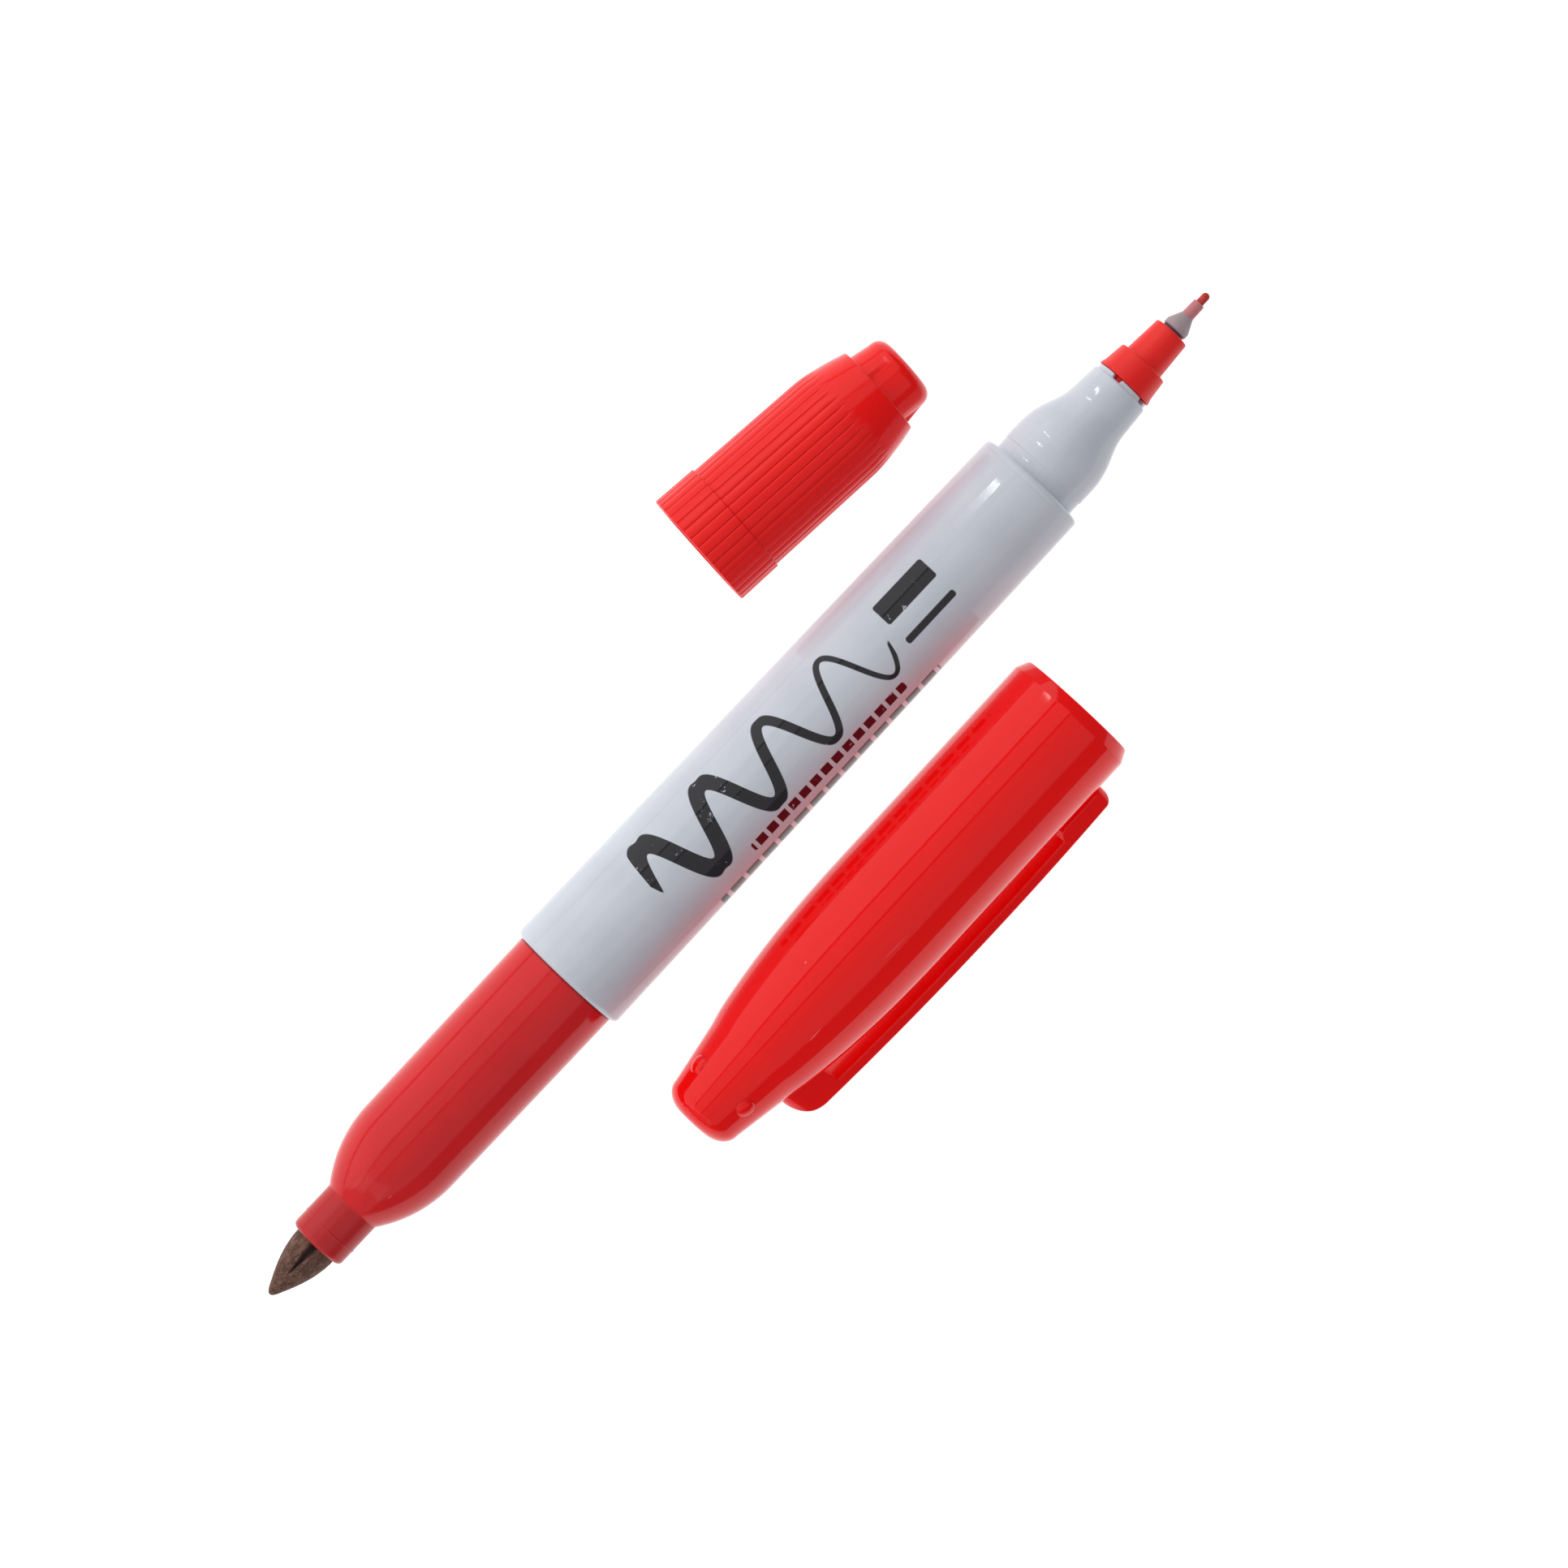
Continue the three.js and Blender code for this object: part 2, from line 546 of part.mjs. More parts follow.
// The whole clip, root and blade, lying over the shell towards local -Y.
function makeWholeClip() {
  const side = new THREE.Shape();
  const buried = (x) => broadRadius(x) - BROAD_WALL / 2;
  side.moveTo(CLIP_START, buried(CLIP_START));
  side.lineTo(CLIP_START, clipOuter(CLIP_START) - CLIP_ROOT_ROUND);
  for (let i = 1; i <= 5; i += 1) {
    const angle = radians(180 - 18 * i);
    const x = CLIP_START + CLIP_ROOT_ROUND * (1 + Math.cos(angle));
    side.lineTo(x, clipOuter(x) - CLIP_ROOT_ROUND * (1 - Math.sin(angle)));
  }
  for (let i = 1; i <= 7; i += 1) {
    const from = CLIP_START + CLIP_ROOT_ROUND;
    const x = from + ((clipEnd - CLIP_TIP_ROUND - from) * i) / 7;
    side.lineTo(x, clipOuter(x));
  }
  for (let i = 1; i <= 3; i += 1) {
    const angle = radians(90 - 30 * i);
    const x = clipEnd - CLIP_TIP_ROUND * (1 - Math.cos(angle));
    side.lineTo(x, clipOuter(x) - CLIP_TIP_ROUND * (1 - Math.sin(angle)));
  }
  side.lineTo(clipEnd, broadR + SEAT + 0.35);
  side.lineTo(clipEnd - 0.6, broadR + SEAT);
  side.lineTo(clipPadStart + 0.5, broadR + SEAT);
  for (let i = 0; i <= 5; i += 1) {
    const x = clipPadStart - ((clipPadStart - clipSlotStart) * i) / 5;
    side.lineTo(x, clipOuter(x) - CLIP_THICK);
  }
  side.lineTo(clipSlotStart, buried(clipSlotStart));
  side.closePath();
  const blade = new THREE.ExtrudeGeometry(side, { depth: CLIP_WIDTH, bevelEnabled: false });
  // The shape's x stays along the cap, its y becomes the outward direction.
  blade.translate(0, 0, -CLIP_WIDTH / 2);
  blade.rotateX(Math.PI);

  const plan = new THREE.Shape();
  const half = CLIP_WIDTH / 2;
  const r = CLIP_PLAN_ROUND;
  plan.moveTo(CLIP_START + r, -half);
  plan.lineTo(clipEnd - r, -half);
  plan.absarc(clipEnd - r, -half + r, r, -Math.PI / 2, 0, false);
  plan.lineTo(clipEnd, half - r);
  plan.absarc(clipEnd - r, half - r, r, 0, Math.PI / 2, false);
  plan.lineTo(CLIP_START + r, half);
  plan.absarc(CLIP_START + r, half - r, r, Math.PI / 2, Math.PI, false);
  plan.lineTo(CLIP_START, -half + r);
  plan.absarc(CLIP_START + r, -half + r, r, Math.PI, 1.5 * Math.PI, false);
  const reach = clipCrestR + 1;
  const outline = new THREE.ExtrudeGeometry(plan, {
    depth: reach, bevelEnabled: false, curveSegments: 4,
  });
  outline.rotateX(Math.PI / 2);
  return toSolid(blade).intersect(toSolid(outline));
}

// A block across the clip, used to part the blade from its root.
function clipBlock(from, to) {
  const reach = clipCrestR + 2;
  const block = new THREE.BoxGeometry(to - from, reach, 2 * CLIP_WIDTH);
  block.translate((from + to) / 2, -reach / 2, 0);
  return toSolid(block);
}

function makeBroadShell() {
  const innerEnd = BROAD_END_WALL;
  const chamfer = broadLength - BROAD_CHAMFER_LENGTH;
  const mouthR = broadR - BROAD_CHAMFER_DROP;
  const taper = [0.08, 0.18, 0.3, 0.45, 0.62, 0.8, 1].map(
    (f) => BROAD_CONE_LENGTH + (BROAD_TAPER_LENGTH - BROAD_CONE_LENGTH) * f,
  );
  const outer = [
    [0, 0],
    ...arc(BROAD_END_ROUND, BROAD_END_FLAT_R,
      BROAD_END_ROUND, BROAD_END_R - BROAD_END_FLAT_R, 180, 90, 5),
    [BROAD_CONE_LENGTH, BROAD_CONE_R],
    ...taper.map((x) => [x, broadRadius(x)]),
    [chamfer, broadR],
    [broadLength - 0.1, mouthR + 0.05],
    [broadLength, mouthR - 0.05],
  ];
  const inner = [
    [broadLength, broadBoreR],
    [BROAD_TAPER_LENGTH, broadBoreR],
    ...[0.62, 0.3, 0].map((f) => {
      const x = BROAD_CONE_LENGTH + (BROAD_TAPER_LENGTH - BROAD_CONE_LENGTH) * f;
      return [x, broadRadius(x) - BROAD_WALL];
    }),
    [innerEnd + 1, BROAD_END_R - BROAD_WALL - 0.3],
    [innerEnd, BROAD_END_R - BROAD_WALL - 1.2],
    [innerEnd, 0],
  ];
  let solid = toSolid(turned([...outer, ...inner]));
  const root = makeWholeClip().intersect(clipBlock(CLIP_START - 1, clipSlotStart));
  solid = solid.add(root);
  for (let i = 0; i < BUMP_COUNT; i += 1) {
    const bump = new THREE.SphereGeometry(BUMP_R, 12, 6);
    bump.scale(1, 2 * BUMP_HEIGHT / BUMP_R, 1);
    bump.translate(BUMP_FROM_END, -broadRadius(BUMP_FROM_END) + BUMP_HEIGHT, 0);
    bump.rotateX(radians(BUMP_PHASE + (360 * i) / BUMP_COUNT));
    solid = solid.add(toSolid(bump));
  }
  return toGeometry(solid);
}

function makeClipBlade() {
  const whole = makeWholeClip();
  return toGeometry(whole.intersect(clipBlock(clipSlotStart + CLIP_SPLIT, clipEnd + 1)));
}

// Thimble: with the cap pressed home its mouth covers the end of the collar.
function makeBroadSeal() {
  const sealR = collarR + BROAD_SEAL_CLEAR;
  const outerR = sealR + BROAD_SEAL_WALL;
  const mouth = broadSealMouth;
  const floor = broadSealFloor;
  const back = floor - BROAD_SEAL_WALL;
  const flangeR = broadRadius(back) - BROAD_WALL - SEAT;
  const stations = [
    [back, 0],
    [back, flangeR],
    [back + BROAD_SEAL_FLANGE_LENGTH, flangeR],
    [back + BROAD_SEAL_FLANGE_LENGTH, outerR],
    [mouth - 0.4, outerR],
    [mouth, outerR - 0.3],
    [mouth, sealR],
    [floor + 1, sealR],
    [floor, sealR - 0.8],
    [floor, 0],
  ];
  return turned(stations);
}

// ---------------------------------------------------------------- fine cap

function fineShoulderRadius(x) {
  const t = (x - fineShoulder) / FINE_CAP_SHOULDER_LENGTH;
  return fineBodyEndR - (fineBodyEndR - fineShoulderR) * t ** 1.6;
}

// Every second column of the turned shell is pressed in, as long as the flutes last.
function pressFlutes(geometry) {
  const p = geometry.getAttribute('position');
  const column = Math.PI / FINE_CAP_FLUTES;
  const innermost = fineBodyEndR - FINE_CAP_WALL / 2;
  for (let i = 0; i < p.count; i += 1) {
    const [x, y, z] = [p.getX(i), p.getY(i), p.getZ(i)];
    const r = Math.hypot(y, z);
    const turn = Math.round(Math.atan2(y, z) / column);
    if (turn % 2 === 0 && r > innermost && x < fineFluteEnd) {
      const scale = (r - FINE_CAP_FLUTE_DEPTH) / r;
      p.setXYZ(i, x, y * scale, z * scale);
    }
  }
  return geometry;
}

// A wedge lobe on the button: high at the shoulder and fading towards the end.
function makeLobe(angle) {
  const steps = 5;
  const high = fineButtonR + FINE_CAP_LOBE_HEIGHT;
  const wedge = new THREE.Shape();
  wedge.moveTo(fineButton - 0.3, fineButtonR - 0.5);
  wedge.lineTo(fineButton - 0.3, high);
  wedge.lineTo(fineButton, high);
  wedge.lineTo(fineButton + FINE_CAP_LOBE_LENGTH, fineButtonR - 0.05);
  wedge.lineTo(fineButton + FINE_CAP_LOBE_LENGTH, fineButtonR - 0.5);
  const points = wedge.getPoints().map((q) => new THREE.Vector2(q.y, q.x));
  points.push(points[0].clone());
  const sector = new THREE.LatheGeometry(points, SEGMENTS);
  sector.rotateZ(-Math.PI / 2);
  const span = new THREE.Shape();
  span.moveTo(0, 0);
  for (let i = 0; i <= steps; i += 1) {
    const a = radians(angle - FINE_CAP_LOBE_WIDTH / 2 + (FINE_CAP_LOBE_WIDTH * i) / steps);
    span.lineTo(2 * high * Math.sin(a), 2 * high * Math.cos(a));
  }
  span.closePath();
  const slice = new THREE.ExtrudeGeometry(span, { depth: 8, bevelEnabled: false });
  // The slice's shape lies in Y and Z, its depth along X.
  const toYZ = new THREE.Matrix4().makeBasis(
    new THREE.Vector3(0, 1, 0), new THREE.Vector3(0, 0, 1), new THREE.Vector3(1, 0, 0),
  );
  slice.applyMatrix4(toYZ);
  slice.translate(fineButton - 2, 0, 0);
  return toSolid(sector).intersect(toSolid(slice));
}

function makeFineShell() {
  const shoulder = [0.2, 0.4, 0.6, 0.8, 1].map((f) => {
    const x = fineShoulder + FINE_CAP_SHOULDER_LENGTH * f;
    return [x, fineShoulderRadius(x)];
  });
  const end = fineCapLength;
  const stations = [
    [0, fineBandR - 0.1],
    [0.15, fineBandR],
    [FINE_CAP_BAND_LENGTH, fineBandR - FINE_CAP_BAND_DRAFT],
    [FINE_CAP_BAND_LENGTH, fineBodyR],
    [fineShoulder, fineBodyEndR],
    ...shoulder,
    [fineButton, fineButtonR],
    ...arc(end - FINE_CAP_BUTTON_ROUND, fineButtonR - FINE_CAP_BUTTON_ROUND,
      FINE_CAP_BUTTON_ROUND, FINE_CAP_BUTTON_ROUND, 90, 0, 3),
    [end, 0],
    [end - FINE_CAP_END_WALL, 0],
    [end - FINE_CAP_END_WALL, fineButtonBoreR - 0.3],
    [end - FINE_CAP_END_WALL - 0.5, fineButtonBoreR],
    [fineButton + 0.2, fineButtonBoreR],
    [fineButton - 0.9, fineShoulderR - FINE_CAP_WALL],
    [fineShoulder, fineBodyEndR - FINE_CAP_WALL],
    [0, fineCapMouthR],
  ];
  // The profile starts at the mouth's outer edge and closes there.
  const shell = pressFlutes(turnedRing(stations, 2 * FINE_CAP_FLUTES));
  let solid = toSolid(shell);
  for (let i = 0; i < FINE_CAP_LOBE_COUNT; i += 1) {
    const angle = FINE_CAP_LOBE_MIDDLE + (360 * i) / FINE_CAP_LOBE_COUNT;
    solid = solid.add(makeLobe(angle));
  }
  return toGeometry(solid);
}

function makeFineSeal() {
  const sealR = ferruleTierR + FINE_SEAL_CLEAR;
  const outerR = sealR + FINE_SEAL_WALL;
  const back = fineSealBack;
  const t = (back - fineShoulder) / (fineButton - 0.9 - fineShoulder);
  const boreR = fineBodyEndR - FINE_CAP_WALL
    + (fineShoulderR - fineBodyEndR) * t;
  const flangeR = boreR - SEAT;
  const stations = [
    [fineSealMouth, sealR],
    [fineSealMouth, outerR - 0.25],
    [fineSealMouth + 0.3, outerR],
    [back - FINE_SEAL_FLANGE_LENGTH, outerR],
    [back - FINE_SEAL_FLANGE_LENGTH, flangeR],
    [back, flangeR],
    [back, sealR],
  ];
  return turnedRing(stations);
}

// ---------------------------------------------------------------- assembly

const GREY = 0xc9ccd2;
const RED = 0xd2202a;
const BRIGHT_RED = 0xe0232a;
const FELT_BROWN = 0x5f4440;
const FIBRE_RED = 0xc8403a;
const PIPE_MAUVE = 0xa08a8e;
const FIBRE_CORE = 0xb03035;
const FILM = 0xd8d8d8;
const SEAL_RED = 0xc01c24;

const marker = new THREE.Group();
marker.add(
  piece('barrel', makeBarrel(), GREY, 0.3),
  piece('front_section', makeFrontSection(), RED, 0.35),
  piece('bullet_nib', makeBulletNib(), FELT_BROWN, 0.95),
  piece('fine_ferrule', makeFerrule(), BRIGHT_RED, 0.5),
  piece('nib_pipe', makeNibPipe(), PIPE_MAUVE, 0.4),
  piece('fine_nib', makeFineNib(), FIBRE_RED, 0.8),
  piece('ink_reservoir', makeReservoir(), FIBRE_CORE, 0.95),
  piece('reservoir_film', makeReservoirFilm(), FILM, 0.4),
);
marker.position.z = Math.max(barrelBulletR, barrelFineR);

// The broad cap lies on its shell and leans over until its clip meets the table.
const clipCorner = Math.hypot(clipCrestR, CLIP_WIDTH / 2);
const clipLean = Math.asin((broadR - CLIP_LIFT) / clipCorner)
  - Math.atan2(CLIP_WIDTH / 2, clipCrestR);
const broadRoll = new THREE.Group();
broadRoll.rotation.x = clipLean;
broadRoll.add(
  piece('broad_cap_shell', makeBroadShell(), BRIGHT_RED, 0.22),
  piece('broad_cap_seal', makeBroadSeal(), SEAL_RED, 0.5),
  piece('clip', makeClipBlade(), BRIGHT_RED, 0.22),
);
const broadCap = new THREE.Group();
broadCap.add(broadRoll);
broadCap.position.set(BROAD_CAP_END_X, -(barrelBulletR + BROAD_CAP_SPACE + broadR), broadR);
broadCap.rotation.z = radians(BROAD_CAP_YAW);

const fineCap = new THREE.Group();
fineCap.add(
  piece('fine_cap_shell', makeFineShell(), BRIGHT_RED, 0.4),
  piece('fine_cap_seal', makeFineSeal(), SEAL_RED, 0.5),
);
fineCap.position.set(FINE_CAP_MOUTH_X, barrelBulletR + FINE_CAP_SPACE + fineBandR, fineBandR);
fineCap.rotation.z = radians(FINE_CAP_YAW);

// The model's origin is the middle of its bottom.
const model = new THREE.Group();
model.add(marker, broadCap, fineCap);
model.updateMatrixWorld(true);
const box = new THREE.Box3().setFromObject(model, true);
model.position.set(-(box.min.x + box.max.x) / 2, -(box.min.y + box.max.y) / 2, -box.min.z);
model.updateMatrixWorld(true);

export default model;
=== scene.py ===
# %% [markdown]
# # A twin-tip felt marker with both caps off
# The marker lies on a pale table between its two caps. Nearly every part of it is moulded in a
# round shape, so most cells below carry a profile round an axis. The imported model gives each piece
# its place, and here it gets a finer skin and its finish.

# %% Load the fixed frame
import json
import math

import bpy
import numpy as np
from mathutils import Matrix, Vector


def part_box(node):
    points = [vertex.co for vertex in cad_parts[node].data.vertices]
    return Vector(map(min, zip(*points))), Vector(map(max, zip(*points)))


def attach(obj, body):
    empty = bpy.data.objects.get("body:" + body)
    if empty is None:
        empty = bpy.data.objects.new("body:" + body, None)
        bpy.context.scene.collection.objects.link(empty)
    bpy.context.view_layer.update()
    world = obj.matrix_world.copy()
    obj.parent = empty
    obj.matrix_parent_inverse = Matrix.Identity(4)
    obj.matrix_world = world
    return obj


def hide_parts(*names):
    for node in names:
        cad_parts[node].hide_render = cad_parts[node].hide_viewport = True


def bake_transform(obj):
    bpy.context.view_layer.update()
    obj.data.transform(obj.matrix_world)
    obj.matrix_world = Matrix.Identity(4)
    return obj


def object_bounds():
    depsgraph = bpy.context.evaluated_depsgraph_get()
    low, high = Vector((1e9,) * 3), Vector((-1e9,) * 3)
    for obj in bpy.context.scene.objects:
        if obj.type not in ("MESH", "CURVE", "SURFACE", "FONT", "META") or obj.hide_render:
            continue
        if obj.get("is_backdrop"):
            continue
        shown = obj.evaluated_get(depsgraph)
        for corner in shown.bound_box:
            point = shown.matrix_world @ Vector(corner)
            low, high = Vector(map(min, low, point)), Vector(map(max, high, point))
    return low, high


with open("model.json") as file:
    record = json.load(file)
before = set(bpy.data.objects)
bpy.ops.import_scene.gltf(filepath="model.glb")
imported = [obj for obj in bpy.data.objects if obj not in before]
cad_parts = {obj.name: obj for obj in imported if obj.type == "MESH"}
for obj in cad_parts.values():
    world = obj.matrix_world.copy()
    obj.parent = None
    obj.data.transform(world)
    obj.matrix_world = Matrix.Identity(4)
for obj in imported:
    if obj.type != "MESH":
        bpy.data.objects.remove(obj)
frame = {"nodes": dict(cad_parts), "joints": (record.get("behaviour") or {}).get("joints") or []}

cad_low, cad_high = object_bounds()
joints = {joint["name"]: joint for joint in frame["joints"]}
MM = 0.001
print("frame size in mm:", [round(side / MM, 2) for side in cad_high - cad_low])

# %% [markdown]
# ## Where each piece lies
# The marker's axis is the middle of the barrel's box. Each cap has an axis of its own, a little
# turned on the table, and the broad cap also leans over on its clip. The lean and the turn of the
# broad cap are read from the hinge of its clip, whose axis stands square to the clip.

# %% Axes of the marker and of the two caps
barrel_low, barrel_high = (np.array(corner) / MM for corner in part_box("barrel"))
BARREL_LENGTH = 67.2
BARREL_BULLET_R = (barrel_high[2] - barrel_low[2]) / 2
BARREL_MIDDLE = barrel_low[0] + BARREL_LENGTH / 2
AXIS_Y = (barrel_high[1] + barrel_low[1]) / 2
AXIS_Z = (barrel_high[2] + barrel_low[2]) / 2

BROAD_R = 7.05
BROAD_LENGTH = 55.9
BROAD_END_X = -35.45
BROAD_SPACE = 5.25
FINE_BAND_R = 6.42
FINE_LENGTH = 27.5
FINE_MOUTH_X = 6.05
FINE_SPACE = 6.36
FINE_YAW = math.radians(-5.12)

clip_axis = joints["clip_flex"]["axis"]
BROAD_ROLL = math.acos(-clip_axis[2])
BROAD_YAW = math.atan2(-clip_axis[0], clip_axis[1])


def lying(x, y, z, yaw=0.0, roll=0.0):
    """The place of a piece: rolled about its own axis, then turned on the table, then moved, in mm."""
    turn = Matrix.Rotation(yaw, 4, "Z") @ Matrix.Rotation(roll, 4, "X")
    return np.array(Matrix.Translation((x, y, z)) @ turn)


marker_place = lying(BARREL_MIDDLE, AXIS_Y, AXIS_Z)
broad_place = lying(
    BARREL_MIDDLE + BROAD_END_X,
    AXIS_Y - BARREL_BULLET_R - BROAD_SPACE - BROAD_R,
    BROAD_R,
    BROAD_YAW,
    BROAD_ROLL,
)
fine_place = lying(
    BARREL_MIDDLE + FINE_MOUTH_X,
    AXIS_Y + BARREL_BULLET_R + FINE_SPACE + FINE_BAND_R,
    FINE_BAND_R,
    FINE_YAW,
)
print("broad cap leans", round(math.degrees(BROAD_ROLL), 2), "degrees")

# %% [markdown]
# ## Profiles
# A moulded edge is never quite sharp. A profile is drawn as a few straight and curved runs, and its
# corners are then softened all at once, so that each edge catches a thin line of light.


# %% Soften and divide a profile
LEAST_CORNER = math.radians(14)
MOST_OF_SIDE = 0.45


def eased(share):
    """An S-curve: share held to 0..1, then s^2 (3 - 2 s)."""
    share = np.clip(share, 0, 1)
    return share * share * (3 - 2 * share)


def softened(points, radius, closed=False, samples=5):
    """Rounds each corner P that turns by LEAST_CORNER or more by the curve (1-s)^2 A + 2 s (1-s) P
    + s^2 B, where A and B lie on its two sides, radius away from it or just under half a side."""
    p = np.asarray(points, float)
    before, after = np.roll(p, 1, 0) - p, np.roll(p, -1, 0) - p
    far_a, far_b = np.linalg.norm(before, axis=1), np.linalg.norm(after, axis=1)
    unit_a, unit_b = before / far_a[:, None], after / far_b[:, None]
    corner = -(unit_a * unit_b).sum(1) < math.cos(LEAST_CORNER)
    if not closed:
        corner[[0, -1]] = False
    reach = np.minimum(radius, MOST_OF_SIDE * np.minimum(far_a, far_b)) * corner
    a, b = p + unit_a * reach[:, None], p + unit_b * reach[:, None]
    s = np.linspace(0, 1, samples)[None, :, None]
    curves = (1 - s) ** 2 * a[:, None] + 2 * s * (1 - s) * p[:, None] + s**2 * b[:, None]
    return curves[corner[:, None] | (np.arange(samples) == 0)[None, :]]


def divided(points, step, start, stop, least_r=0.0):
    """Adds points to the sides of a profile whose middles lie between start and stop, outside
    least_r, so that none of those sides is longer than step."""
    ahead = np.roll(points, -1, 0)
    ahead[-1] = points[-1]
    length = np.linalg.norm(ahead - points, axis=1)
    middle = (points + ahead) / 2
    inside = (middle[:, 0] > start) & (middle[:, 0] < stop) & (middle[:, 1] > least_r)
    count = np.where(inside, np.ceil(length / step), 1).astype(int).clip(1)
    first = np.repeat(np.arange(len(points)), count)
    share = np.arange(count.sum()) - np.repeat(np.cumsum(count) - count, count)
    share = share / np.repeat(count, count)
    return points[first] + (ahead[first] - points[first]) * share[:, None]


def arc(x, r, size_x, size_r, start, stop, count=9):
    """Points on an ellipse about (x, r), its angle going evenly from start to stop degrees."""
    angle = np.radians(np.linspace(start, stop, count))
    return np.stack([x + size_x * np.cos(angle), r + size_r * np.sin(angle)], 1)


def bezier(p0, p1, p2, p3, count=24):
    """Points on the cubic curve from p0 to p3 with the handles p1 and p2."""
    t = np.linspace(0, 1, count)[:, None]
    p0, p1, p2, p3 = (np.array(p, float) for p in (p0, p1, p2, p3))
    return (1 - t) ** 3 * p0 + 3 * t * (1 - t) ** 2 * p1 + 3 * t**2 * (1 - t) * p2 + t**3 * p3


print("a softened square has", len(softened([[0, 0], [1, 0], [1, 1], [0, 1]], 0.1, True)), "points")

# %% [markdown]
# ## From a grid of points to a closed skin
# Every new piece is a grid of points: rows follow the profile, columns go round. The rows of a ring
# join at the ends, and any other piece closes in a single point, a pole, at each end. The grid also
# gives a UV map: the share of a full turn, and the distance along the axis in tenths of a metre.


# %% Make a skin from a grid
MAP_PER_MM = 0.01
CREASE = math.radians(38)


def skin(name, grid, along, ring=False, shade=None):
    """Joins grid (rows, columns, xyz in metres) into one closed mesh with its faces turned out."""
    rows, columns = grid.shape[:2]
    number = np.arange(rows * columns).reshape(rows, columns)
    points = grid.reshape(-1, 3)
    marks = None if shade is None else shade.reshape(-1)
    if not ring:
        number = np.zeros((rows, columns), int)
        number[1:-1] = 1 + np.arange((rows - 2) * columns).reshape(rows - 2, columns)
        number[-1] = 1 + (rows - 2) * columns
        inner = points[columns:-columns]
        points = np.concatenate([points[:1], inner, points[-1:]])
        if marks is not None:
            marks = np.concatenate([marks[:1], marks[columns:-columns], marks[-1:]])
    i = np.arange(rows if ring else rows - 1)
    j = np.arange(columns)
    low, high = number[i], number[(i + 1) % rows]
    faces = np.stack([low, high, np.roll(high, -1, 1), np.roll(low, -1, 1)], -1)
    u = np.broadcast_to(np.stack([j, j, j + 1, j + 1], -1) / columns, faces.shape)
    a, b = along[i], along[(i + 1) % rows]
    v = np.broadcast_to(np.stack([a, b, b, a], -1)[:, None] * MAP_PER_MM, faces.shape)
    if ring:
        groups = [(faces, u, v)]
    else:
        first, last = [0, 1, 2], [0, 1, 3]
        groups = [
            (faces[0][:, first], u[0][:, first], v[0][:, first]),
            (faces[1:-1].reshape(-1, 4), u[1:-1].reshape(-1, 4), v[1:-1].reshape(-1, 4)),
            (faces[-1][:, last], u[-1][:, last], v[-1][:, last]),
        ]
    lists = [face for group in groups for face in group[0].reshape(-1, group[0].shape[-1]).tolist()]
    mesh = bpy.data.meshes.new(name)
    mesh.from_pydata(points.tolist(), [], lists)
    uv = mesh.uv_layers.new(name="turn_and_length")
    pairs = [np.stack([g[1].ravel(), g[2].ravel()], 1) for g in groups]
    uv.data.foreach_set("uv", np.concatenate(pairs).astype(np.float32).ravel())
    if marks is not None:
        layer = mesh.attributes.new("shade", "FLOAT", "POINT")
        layer.data.foreach_set("value", marks.astype(np.float32))
    mesh.polygons.foreach_set("use_smooth", np.ones(len(mesh.polygons), bool))
    mesh.set_sharp_from_angle(angle=CREASE)
    mesh.validate()
    piece = bpy.data.objects.new(name, mesh)
    bpy.context.scene.collection.objects.link(piece)
    return piece


def turned(name, profile, place, around=192, ring=False, relief=None):
    """A profile carried round the X axis: point = (x, r sin a, r cos a), with a measured from
    straight up towards +Y. relief(x, r, a) may return the three grids x, r and shade changed."""
    a = np.linspace(0, 2 * math.pi, around, endpoint=False)[None, :]
    x = np.repeat(profile[:, :1], around, 1)
    r = np.repeat(profile[:, 1:], around, 1)
    shade = None
    if relief is not None:
        x, r, shade = relief(x, r, a + 0 * x)
    local = np.stack([x, r * np.sin(a), r * np.cos(a)], -1)
    grid = (local @ place[:3, :3].T + place[:3, 3]) * MM
    return skin(name, grid, profile[:, 0], ring, shade)


def settle(piece, body, slot, *nodes):
    """Lets a finished piece ride on a body in place of its CAD nodes, and prints how its box agrees."""
    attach(piece, body)
    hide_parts(*nodes)
    corners = np.array([v.co for v in piece.data.vertices])
    low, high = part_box(nodes[0])
    gap = max(abs(corners.min(0) - low).max(), abs(corners.max(0) - high).max()) / MM
    print(f"{piece.name}: {len(piece.data.polygons)} faces, box within {gap:.3f} mm of the frame")
    return piece


# %% [markdown]
# ## Barrel
# The barrel is one grey moulding: a long tube that tapers towards the fine end, a stepped neck, an
# S-shaped nose, and a small ring with five notches, like a castle wall, that grips the ferrule.

# %% Barrel profile
half = BARREL_LENGTH / 2
SOCKET_R = 5.7
BORE_R = 4.75
BARREL_FINE_R = 5.98
NECK_R = 4.97
NECK_BORE_R = 3.9
NOSE_END_R = 3.26
NOSE_WAIST_R = 3.46
NOSE_LENGTH = 12.6
NOSE_WAIST = 9.8
NOSE_BORE_R = 2.45
CASTLE_R = 3.02
CASTLE_LENGTH = 0.48
NECK_LENGTH = 3.0
NECK_GROOVE = 0.09
NECK_GROOVE_LENGTH = 1.5
BULLET_ROUND = 0.6
FINE_ROUND = 0.45
SOCKET_DEPTH = 12
nose_end = half + NOSE_LENGTH
castle_end = nose_end + CASTLE_LENGTH
neck_end = half + NECK_LENGTH
groove_r = NECK_R - NECK_GROOVE
groove_stop = half + NECK_GROOVE_LENGTH
waist = half + NOSE_WAIST
